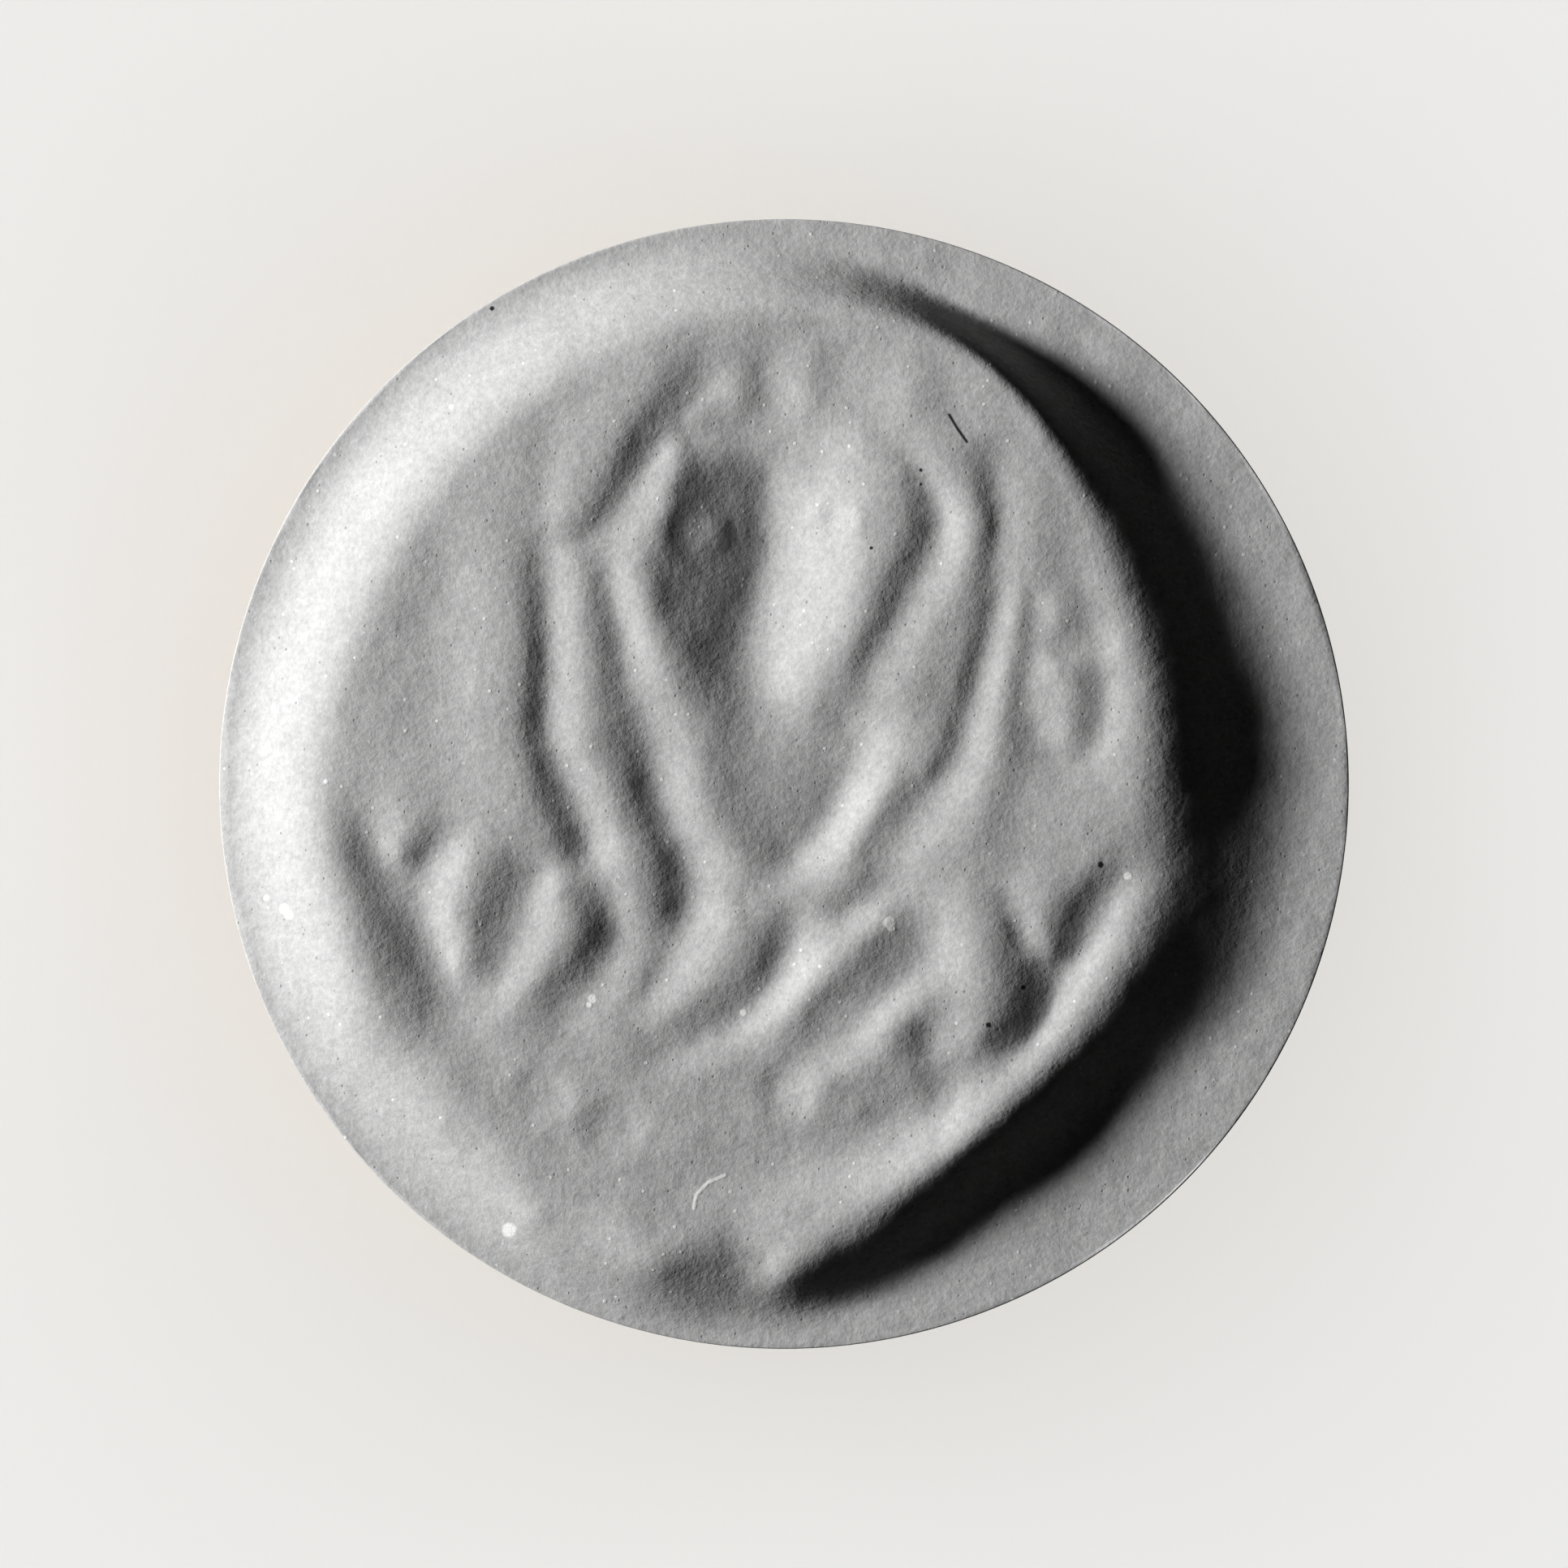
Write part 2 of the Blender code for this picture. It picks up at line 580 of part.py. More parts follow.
def buildHandle(material, parent, drills):
    """The turned handle, with bores for the cap's spigot, the screw and the threaded insert."""
    spigot_bore = CAP_SPIGOT_RADIUS + BORE_GAP
    pilot_radius = SCREW_CREST_RADIUS + BORE_GAP
    pilot_top = screw_bottom + SCREW_LENGTH + SEAT_GAP - handle_bottom
    bore_floor = insert_bottom - SEAT_GAP - handle_bottom
    full_height = HANDLE_BODY_HEIGHT + TENON_HEIGHT
    collar_bottom = HANDLE_BODY_HEIGHT - HANDLE_COLLAR_HEIGHT
    foot = (foot_radius, 0.0)
    palm = (palm_radius, HANDLE_PALM_HEIGHT)
    waist = (HANDLE_WAIST_RADIUS, HANDLE_WAIST_HEIGHT)
    collar = (ferrule_radius, collar_bottom)
    lines = []
    for index in range(2):
        middle = HANDLE_PALM_HEIGHT + HANDLE_LINE_SPACING * index
        lines += [
            (palm_radius, middle), (palm_radius - HANDLE_LINE_DEPTH, middle + HANDLE_LINE_DEPTH),
            (palm_radius, middle + 2 * HANDLE_LINE_DEPTH),
        ]
    palm_end = lines[-1]
    profile = [
        (0.0, pilot_top), (pilot_radius, pilot_top), (pilot_radius, CAP_SPIGOT_HEIGHT),
        (spigot_bore, CAP_SPIGOT_HEIGHT), (spigot_bore, 0.0), foot,
        *sCurve(foot, palm, FOOT_CURVE_STEPS), *lines,
        *sCurve(palm_end, waist, PALM_CURVE_STEPS), waist,
        *sCurve(waist, collar, NECK_CURVE_STEPS), collar,
        (ferrule_radius, HANDLE_BODY_HEIGHT), (tenon_radius, HANDLE_BODY_HEIGHT),
        (tenon_radius, full_height), (insert_bore_radius, full_height),
        (insert_bore_radius, bore_floor), (0.0, bore_floor),
    ]
    bm = turnedMesh(profile, LARGE_SIDES, closed=False)
    handle = addObject("handle", bm, material, parent, handle_bottom)
    for drill in drills:
        useBoolean(handle, drill, "DIFFERENCE")
    return handle


def buildEndCap(material, parent):
    """A turned cap with a recess for the pad below, a countersunk hole and a spigot into the handle."""
    hole = SCREW_CREST_RADIUS + BORE_GAP
    sink_radius = SCREW_HEAD_RADIUS + BORE_GAP
    cone_bottom = screw_bottom + SCREW_HEAD_RIM
    spigot_top = cap_top + CAP_SPIGOT_HEIGHT
    profile = [
        (PAD_RADIUS + BORE_GAP, PAD_PROUD),
        *roundEdge(cap_radius, PAD_PROUD, CAP_EDGE, rising=False),
        *roundEdge(cap_radius, cap_top, CAP_EDGE, rising=True),
        (CAP_SPIGOT_RADIUS, cap_top), (CAP_SPIGOT_RADIUS, spigot_top), (hole, spigot_top),
        (hole, cone_bottom + SCREW_CONE_HEIGHT + BORE_GAP), (sink_radius, cone_bottom + BORE_GAP),
        (sink_radius, pad_seat), (PAD_RADIUS + BORE_GAP, pad_seat),
    ]
    return addObject("end_cap", turnedMesh(profile, LARGE_SIDES, closed=True), material, parent)


def buildEndCapScrew(material, parent):
    cone_top = SCREW_HEAD_RIM + SCREW_CONE_HEIGHT
    profile = (
        (0.0, 0.0), (SCREW_HEAD_RADIUS, 0.0), (SCREW_HEAD_RADIUS, SCREW_HEAD_RIM),
        (SCREW_ROOT_RADIUS, cone_top), (SCREW_ROOT_RADIUS, SCREW_LENGTH - SCREW_TIP), (0.0, SCREW_LENGTH),
    )
    screw = addObject("end_cap_screw", turnedMesh(profile, SMALL_SIDES, closed=False), material, parent)
    screw.location.z = screw_bottom
    ridge = helixRidge(
        "screw_thread_ridge", SCREW_ROOT_RADIUS - THREAD_BURIED, SCREW_CREST_RADIUS,
        SCREW_RIDGE_WIDTH, SCREW_CREST_WIDTH, SCREW_PITCH,
        cone_top + SCREW_PITCH, SCREW_LENGTH - SCREW_TIP - SCREW_PITCH / 2, SCREW_STEPS, SCREW_RUNOUT_STEPS,
    )
    ridge.location.z = screw_bottom
    useBoolean(screw, ridge, "UNION")
    bm = bmesh.new()
    bmesh.ops.create_cube(bm, size=1.0)
    for vert in bm.verts:
        vert.co.x *= 2 * (SCREW_HEAD_RADIUS + CUTTER_OVERRUN)
        vert.co.y *= SCREW_SLOT_WIDTH
        vert.co.z *= 2 * SCREW_SLOT_DEPTH
    slot = addObject("screw_slot_cutter", bm, None, None, screw_bottom)
    useBoolean(screw, slot, "DIFFERENCE")
    return screw


def buildFootPad(material, parent):
    profile = ((0.0, 0.0), (PAD_RADIUS, 0.0), (PAD_RADIUS, PAD_THICKNESS), (0.0, PAD_THICKNESS))
    return addObject("foot_pad", turnedMesh(profile, LARGE_SIDES, closed=False), material, parent)


def buildStamp():
    for old in list(bpy.data.objects):
        bpy.data.objects.remove(old, do_unlink=True)
    stone = makeMaterial("pale_soapstone", (0.60, 0.60, 0.59), 0.62, 0.0)
    shellac = makeMaterial("amber_shellac", (0.24, 0.09, 0.03), 0.30, 0.0)
    brass = makeMaterial("turned_brass", (0.62, 0.44, 0.18), 0.28, 1.0)
    steel = makeMaterial("plain_steel", (0.50, 0.50, 0.51), 0.32, 1.0)
    wood = makeMaterial("dark_walnut", (0.16, 0.075, 0.035), 0.42, 0.0)
    fibre = makeMaterial("red_fibre", (0.26, 0.05, 0.035), 0.70, 0.0)
    cork = makeMaterial("cork", (0.42, 0.28, 0.16), 0.90, 0.0)
    head_axis = bpy.data.objects.new("head_axis", None)
    bpy.context.collection.objects.link(head_axis)
    buildMatrix(stone, head_axis)
    buildCementBed(shellac, head_axis)
    cup, lock_pin_drill = buildHeadCup(brass, head_axis)
    buildStud(steel, head_axis, lock_pin_drill)
    buildLockPin(steel, head_axis)
    buildSeatWasher(fibre, head_axis)
    ferrule_drills = buildFerrulePins(brass, None)
    buildFerrule(brass, None, ferrule_drills)
    buildInsert(brass, None)
    buildHandle(wood, None, ferrule_drills)
    buildEndCap(brass, None)
    buildEndCapScrew(steel, None)
    buildFootPad(cork, None)


buildStamp()
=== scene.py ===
import math

import bmesh
import bpy
import numpy as np
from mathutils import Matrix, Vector


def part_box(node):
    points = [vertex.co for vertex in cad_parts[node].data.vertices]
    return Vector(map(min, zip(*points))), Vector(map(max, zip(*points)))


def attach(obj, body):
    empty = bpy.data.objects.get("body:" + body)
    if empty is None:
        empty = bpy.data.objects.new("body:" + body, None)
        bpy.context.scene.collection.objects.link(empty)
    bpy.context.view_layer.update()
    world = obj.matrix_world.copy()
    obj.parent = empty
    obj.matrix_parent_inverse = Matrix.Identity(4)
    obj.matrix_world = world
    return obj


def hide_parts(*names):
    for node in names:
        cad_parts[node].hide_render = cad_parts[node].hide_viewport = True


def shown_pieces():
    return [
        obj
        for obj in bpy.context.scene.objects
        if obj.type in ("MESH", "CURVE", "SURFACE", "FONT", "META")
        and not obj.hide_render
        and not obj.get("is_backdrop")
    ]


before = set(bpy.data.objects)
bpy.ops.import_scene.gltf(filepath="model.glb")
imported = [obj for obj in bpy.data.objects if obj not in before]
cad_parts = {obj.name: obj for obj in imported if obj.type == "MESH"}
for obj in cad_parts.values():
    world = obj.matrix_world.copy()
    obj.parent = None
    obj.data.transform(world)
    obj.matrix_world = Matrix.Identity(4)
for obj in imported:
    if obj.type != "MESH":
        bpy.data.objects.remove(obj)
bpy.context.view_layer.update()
print("frame loaded:", len(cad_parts), "nodes")

mm = 0.001


# Shader maths as plain expressions on sockets

class Wire:
    def __init__(self, finish, socket):
        self.finish = finish
        self.socket = socket

    def maths(self, operation, *others):
        return self.finish.node("ShaderNodeMath", {"operation": operation}, (self, *others))

    def __add__(self, other):
        return self.maths("ADD", other)

    def __sub__(self, other):
        return self.maths("SUBTRACT", other)

    def __rsub__(self, other):
        return self.finish.node("ShaderNodeMath", {"operation": "SUBTRACT"}, (other, self))

    def __mul__(self, other):
        return self.maths("MULTIPLY", other)

    def __truediv__(self, other):
        return self.maths("DIVIDE", other)

    def __pow__(self, other):
        return self.maths("POWER", other)

    __radd__ = __add__
    __rmul__ = __mul__

    def clamped(self):
        return self.maths("MAXIMUM", 0.0).maths("MINIMUM", 1.0)

    def below(self, limit, soft):
        return ((limit - self) / soft + 0.5).clamped()  # one under the limit, nought over it

    def above(self, limit, soft):
        return ((self - limit) / soft + 0.5).clamped()

    def near(self, place, reach):
        return (1 - (self - place).maths("ABSOLUTE") / reach).clamped()


class Finish:
    def __init__(self, name, colour, roughness, metallic=0.0, **constants):
        self.material = bpy.data.materials.new(name)
        self.material.use_nodes = True
        self.tree = self.material.node_tree
        self.shader = self.tree.nodes["Principled BSDF"]
        self.set("Base Color", colour)
        self.set("Roughness", roughness)
        self.set("Metallic", metallic)
        for key, value in constants.items():
            self.set(key.replace("_", " "), value)
        self.material.diffuse_color = (*colour, 1.0)
        self.place = self.node("ShaderNodeTexCoord", output="Object")

    def feed(self, socket, value):
        if isinstance(value, Wire):
            self.tree.links.new(value.socket, socket)
        elif isinstance(value, tuple) and socket.type == "RGBA":
            socket.default_value = (*value, 1.0)
        else:
            socket.default_value = value

    def set(self, name, value):
        self.feed(self.shader.inputs[name], value)

    def node(self, kind, settings=None, inputs=(), output=0):
        made = self.tree.nodes.new(kind)
        for key, value in (settings or {}).items():
            setattr(made, key, value)
        pairs = inputs.items() if isinstance(inputs, dict) else enumerate(inputs)
        for key, value in pairs:
            self.feed(made.inputs[key], value)
        return Wire(self, made.outputs[output])

    def mix(self, factor, first, second):
        return self.node("ShaderNodeMix", {"data_type": "RGBA"}, {0: factor, 6: first, 7: second}, output=2)

    def stretched(self, x, y, z):
        return self.node("ShaderNodeMapping", None, {"Vector": self.place, "Scale": (x, y, z)})

    def noise(self, size, detail=2.0, place=None, rough=0.5, warp=0.0):
        inputs = {"Vector": place or self.place, "Scale": 1 / size, "Detail": detail}
        return self.node("ShaderNodeTexNoise", None, {**inputs, "Roughness": rough, "Distortion": warp})

    def cells(self, size, place=None, output="Distance", **settings):
        inputs = {"Vector": place or self.place, "Scale": 1 / size}
        return self.node("ShaderNodeTexVoronoi", settings, inputs, output)

    def scattered(self, size, reach, soft, patch, over, edge, place=None):
        # Dots of a cell pattern, only where a wider noise is high
        return self.cells(size, place).below(reach, soft) * self.noise(patch).above(over, edge)

    def axes(self, place=None):
        split = self.node("ShaderNodeSeparateXYZ", None, {"Vector": place or self.place})
        outputs = split.socket.node.outputs
        return [Wire(self, outputs[index]) for index in range(3)]

    def turnedPlace(self):
        # Radius and height alone, for marks that run round a turned piece
        x, y, z = self.axes()
        return self.node("ShaderNodeCombineXYZ", None, ((x * x + y * y) ** 0.5, 0.0, z))

    def coated(self, tone, roughness, height, distance):
        self.set("Base Color", tone)
        self.set("Roughness", roughness)
        bump = self.node("ShaderNodeBump", None, {"Height": height, "Distance": distance}, output="Normal")
        self.set("Normal", bump)
        return self


# Places of the CAD nodes, in metres

def radiusOf(node):
    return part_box(node)[1].x


def lowOf(node):
    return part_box(node)[0].z


def highOf(node):
    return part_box(node)[1].z


def axisOf(pin):
    # Height of the middle of a pin that lies across the stamp
    low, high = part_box(pin)
    return low.z + (high.z - low.z) / 2


# Finishes: a pale stone whose painted glints, pits, hair and fibre lie at places in millimetres from its
# middle
stoneMarks = {
    "tone": (0.56, 0.56, 0.555),
    "grainTones": ((0.41, 0.41, 0.41), (0.71, 0.71, 0.705)),
    # a pale tone for the painted glints and for a pale fibre
    "glintAndFibreTone": (0.95, 0.95, 0.94),
    "pitTone": (0.16, 0.16, 0.16),
    "hairTone": (0.03, 0.03, 0.03),
    "grain": 0.10,
    "grainHeight": 0.009,
    "markDepth": 1.6,
    # pale spots painted where grains of the stone glint: painted glints
    "paintedGlintSpots": (
        (2.25, -2.95, 0.13), (2.3, -3.06, 0.08), (-0.85, -4.85, 0.07), (-4.05, -4.55, 0.09),
        (-4.12, -4.68, 0.06), (7.3, -1.95, 0.08), (-5.82, -9.48, 0.15), (-10.6, -2.65, 0.10),
        (-10.5, -2.78, 0.09), (-10.98, -2.42, 0.06), (-9.7, 0.05, 0.05), (4.9, -2.9, 0.03),
        (-7.05, 8.0, 0.05),
    ),
    "darkSpots": (
        (6.71, -1.71, 0.06), (5.07, -4.31, 0.05), (4.33, -5.10, 0.06), (2.9, 6.65, 0.04), (2.9, 6.35, 0.03),
        (-6.2, 10.1, 0.05), (1.85, 5.0, 0.04),
    ),
    "hair": ((3.50, 7.82), (3.66, 7.55), (3.87, 7.25)),
    "fibre": ((-1.90, -9.0), (-1.86, -8.72), (-1.60, -8.45), (-1.25, -8.30)),
    "hairWidth": 0.06,
    "fibreWidth": 0.07,
}


def makeStone():
    marks = stoneMarks
    stone = Finish("pale_stone", marks["tone"], 0.8, Specular_IOR_Level=0.05)
    x, y, z = stone.axes()
    x, y = x / mm, y / mm
    top = z.above(highOf("seal_matrix") - marks["markDepth"] * mm, 0.2 * mm)
    grain = stone.noise(marks["grain"] * mm, detail=3, rough=0.65)
    mottle = stone.noise(0.24 * mm, detail=3, rough=0.6)
    cloud = stone.noise(0.9 * mm, detail=3, rough=0.6)
    # pale flecks, coarse and fine, painted over the stone: painted glints of its grains
    paintedGlintFlecks = stone.scattered(0.36 * mm, 0.10, 0.05, 1.1 * mm, 0.53, 0.08)
    fine = stone.scattered(0.19 * mm, 0.10, 0.05, 0.5 * mm, 0.55, 0.06, stone.stretched(1.0, 1.13, 0.9))
    pits = stone.scattered(0.21 * mm, 0.13, 0.06, 0.4 * mm, 0.55, 0.06, stone.stretched(1.07, 0.93, 1.0))

    def onTop(masks):
        total = masks[0]
        for mask in masks[1:]:
            total = total.maths("MAXIMUM", mask)
        return total * top

    def spots(places):
        masks = []
        for placeX, placeY, radius in places:
            away = ((x - placeX) ** 2.0 + (y - placeY) ** 2.0) ** 0.5 + (grain - 0.5) * radius
            masks.append(away.below(radius, radius * 0.5))
        return onTop(masks)

    def drawn(points, width):
        masks = []
        for (fromX, fromY), (toX, toY) in zip(points, points[1:]):
            runX, runY = toX - fromX, toY - fromY
            along = (((x - fromX) * runX + (y - fromY) * runY) / (runX ** 2 + runY ** 2)).clamped()
            away = ((x - fromX - along * runX) ** 2.0 + (y - fromY - along * runY) ** 2.0) ** 0.5
            masks.append(away.below(width / 2, width / 2))
        return onTop(masks)

    # painted glints at their places, and a pale fibre that really lies on the face
    glintsAndFibre = spots(marks["paintedGlintSpots"]).maths("MAXIMUM", drawn(marks["fibre"], marks["fibreWidth"]))
    dark = spots(marks["darkSpots"]).maths("MAXIMUM", drawn(marks["hair"], marks["hairWidth"]))
    tone = stone.mix((grain * 1.1 + mottle * 0.7 + cloud * 0.4 - 0.6).clamped(), *marks["grainTones"])
    tone = stone.mix(pits * 0.5, tone, marks["pitTone"])
    # mixes in the painted glints
    tone = stone.mix((paintedGlintFlecks + fine * 0.5).clamped() * 0.8, tone, marks["glintAndFibreTone"])
    tone = stone.mix(glintsAndFibre, tone, marks["glintAndFibreTone"])
    tone = stone.mix(dark, tone, marks["hairTone"])
    height = grain + mottle * 1.7 + paintedGlintFlecks * 0.5 - pits * 0.6 + glintsAndFibre * 0.6
    return stone.coated(tone, 0.72 + grain * 0.2, height, marks["grainHeight"] * mm)


def makeBrass():
    brass = Finish("turned_brass", (0.64, 0.45, 0.19), 0.3, 1.0)
    ring = brass.turnedPlace()
    turning = brass.noise(0.09 * mm, detail=3, place=ring, rough=0.7)
    chatter = brass.noise(0.7 * mm, place=ring)
    tarnish = (brass.noise(5 * mm, detail=4, rough=0.6) * 1.5 - 0.35).clamped()
    spots = brass.scattered(1.6 * mm, 0.14, 0.12, 3 * mm, 0.52, 0.1)
    scratches = brass.noise(0.25 * mm, place=brass.stretched(1.0, 0.12, 0.35), warp=0.4).above(0.66, 0.04)
    tone = brass.mix(tarnish, (0.62, 0.43, 0.18), (0.36, 0.23, 0.09))
    tone = brass.mix(spots * 0.6, tone, (0.20, 0.12, 0.05))
    tone = brass.mix(scratches * 0.35, tone, (0.82, 0.64, 0.33))
    roughness = 0.2 + tarnish * 0.16 + turning * 0.1 + spots * 0.2
    return brass.coated(tone, roughness, turning + chatter * 0.8 - scratches * 0.5, 0.004 * mm)


def makeSteel():
    metal = Finish("turned_steel", (0.50, 0.50, 0.51), 0.3, 1.0)
    turning = metal.noise(0.07 * mm, detail=3, place=metal.turnedPlace(), rough=0.7)
    oil = (metal.noise(2.5 * mm, detail=3) * 1.8 - 0.5).clamped()
    specks = metal.cells(0.7 * mm).below(0.12, 0.1)
    tone = metal.mix(oil, (0.56, 0.56, 0.57), (0.36, 0.35, 0.34))
    tone = metal.mix(specks * 0.5, tone, (0.16, 0.12, 0.10))
    roughness = 0.22 + turning * 0.14 + oil * 0.14 + specks * 0.3
    return metal.coated(tone, roughness, turning - specks * 0.4, 0.003 * mm)


def makeWood():
    wood = Finish("dark_walnut", (0.16, 0.075, 0.035), 0.4, Coat_Roughness=0.22, Specular_IOR_Level=0.35)
    drift = wood.noise(9 * mm, place=wood.stretched(1.0, 1.0, 0.25))
    x, y, z = wood.axes()
    # Year rings about a heart that lies beside the handle, and wanders
    wanderX = x + 21 * mm + (drift - 0.5) * 5 * mm
    wanderY = y - 9 * mm + (wood.noise(14 * mm, place=wood.stretched(1.0, 1.0, 0.2)) - 0.5) * 6 * mm
    band = ((wanderX * wanderX + wanderY * wanderY) ** 0.5 / (2.3 * mm)).maths("FRACT")
    late = band.above(0.55, 0.55) * (1 - band.above(0.96, 0.06))
    fibre = wood.noise(0.22 * mm, detail=4, place=wood.stretched(1.0, 1.0, 0.05), rough=0.65)
    streak = wood.noise(1.1 * mm, detail=3, place=wood.stretched(1.0, 1.0, 0.06))
    pores = wood.cells(0.42 * mm, wood.stretched(1.0, 1.0, 0.09)).below(0.17, 0.08)
    pores = pores * (0.35 + 0.65 * (1 - late))
    handled = z.near(18 * mm, 16 * mm)
    tone = wood.mix((late * 0.75 + streak * 0.5 - 0.15).clamped(), (0.175, 0.08, 0.036), (0.055, 0.022, 0.01))
    tone = wood.mix((fibre * 1.4 - 0.45).clamped() * 0.5, tone, (0.215, 0.105, 0.048))
    tone = wood.mix(pores * 0.8, tone, (0.018, 0.008, 0.005))
    wood.set("Coat Weight", 0.1 + handled * 0.2 - pores * 0.1)
    roughness = 0.42 + fibre * 0.16 - handled * 0.12 + pores * 0.2
    return wood.coated(tone, roughness, fibre * 0.35 - pores * 1.6 + streak * 0.25, 0.02 * mm)


def makeFibre():
    fibre = Finish("red_fibre", (0.26, 0.05, 0.035), 0.7)
    hairs = fibre.noise(0.12 * mm, detail=3, place=fibre.stretched(1.0, 0.3, 1.6), warp=1.2)
    cloud = fibre.noise(1.2 * mm).above(0.55, 0.3)
    tone = fibre.mix(hairs, (0.17, 0.028, 0.02), (0.34, 0.08, 0.055))
    tone = fibre.mix(cloud * 0.4, tone, (0.12, 0.03, 0.025))
    return fibre.coated(tone, 0.6 + hairs * 0.25, hairs, 0.02 * mm)


def makeCork():
    cork = Finish("ground_cork", (0.42, 0.28, 0.16), 0.9)
    tint = cork.axes(cork.cells(1.3 * mm, output="Color"))[0]
    seams = cork.cells(1.3 * mm, feature="DISTANCE_TO_EDGE").below(0.045, 0.05)
    dots = cork.noise(0.16 * mm, detail=3, rough=0.7)
    dark = cork.cells(0.9 * mm, cork.stretched(1.0, 1.2, 1.1)).below(0.13, 0.08)
    tone = cork.mix(tint, (0.34, 0.205, 0.11), (0.52, 0.36, 0.215))
    tone = cork.mix((dots * 1.3 - 0.4).clamped() * 0.5, tone, (0.22, 0.125, 0.065))
    tone = cork.mix((seams * 0.7 + dark).clamped() * 0.8, tone, (0.12, 0.06, 0.03))
    return cork.coated(tone, 0.8 + dots * 0.15, tint * 0.5 + dots * 0.5 - seams - dark * 0.8, 0.06 * mm)


def makeShellac():
    amber = Finish("amber_shellac", (0.24, 0.09, 0.03), 0.25, Coat_Roughness=0.1)
    swirl = amber.noise(2.2 * mm, detail=3, warp=1.5)
    bubbles = amber.cells(0.55 * mm).below(0.12, 0.08)
    tone = amber.mix(swirl, (0.30, 0.12, 0.04), (0.13, 0.04, 0.015))
    tone = amber.mix(bubbles * 0.5, tone, (0.42, 0.20, 0.08))
    amber.set("Coat Weight", 0.5 - bubbles * 0.3)
    return amber.coated(tone, 0.2 + swirl * 0.15, swirl * 0.6 - bubbles * 0.4, 0.05 * mm)


stone, brass, steel, wood, fibre, cork, shellac = (
    make() for make in (makeStone, makeBrass, makeSteel, makeWood, makeFibre, makeCork, makeShellac)
)
print("finishes made")


# Carved face: a disc with a ring, a raised field on it and a design cut into the field.
# Sizes are in millimetres. Shoulder and foot are the radii where the field's edge starts and ends, at even
# turns from +X. A dent is X, Y, radius, depth and tilt.
face = {
    "cells": 280,
    "edgeRound": 0.03,
    "flange": 3.2,
    "chamfer": 1.0,
    "spigotRadius": 7.2,
    "spigotHeight": 2.8,
    "fieldHeight": 1.06,
    "highest": 1.1,
    "softTop": 0.02,
    "shoulder": (6.8, 7.2, 8.5, 9.8, 9.8, 9.5, 9.2, 9.1, 9.3, 9.35, 9.0, 9.7, 9.4, 8.05, 6.8, 6.7),
    "foot": (11.3, 11.1, 10.8, 10.88, 11.7, 12, 12.1, 12.1, 12.3, 12.25, 12.2, 12.2, 11.8, 10.8, 10.5, 11.3),
    "dentRim": 0.75,
    "dents": (
        (-1.8, 5.35, 0.8, 0.0, 0.13), (1.3, 5.6, 0.62, 0.01, 0.17), (-3.6, -7.3, 0.9, 0.05, 0),
        (-5.1, -6.5, 0.8, 0.045, 0), (0.1, -6.6, 0.8, 0.04, 0), (2.95, -5.5, 0.7, 0.02, 0),
        (3.4, -6.7, 0.6, 0.025, 0),
    ),
    "cutScale": 0.7,
    "give": 0.03,
    "lineSteps": 4,
    "leastGap": 0.12,
    "anchorRadii": (10.6, 11.6),
    "anchors": 24,
    "undulation": ((1.6, 0.014), (0.7, 0.01), (0.3, 0.004)),
    "seed": 11,
}

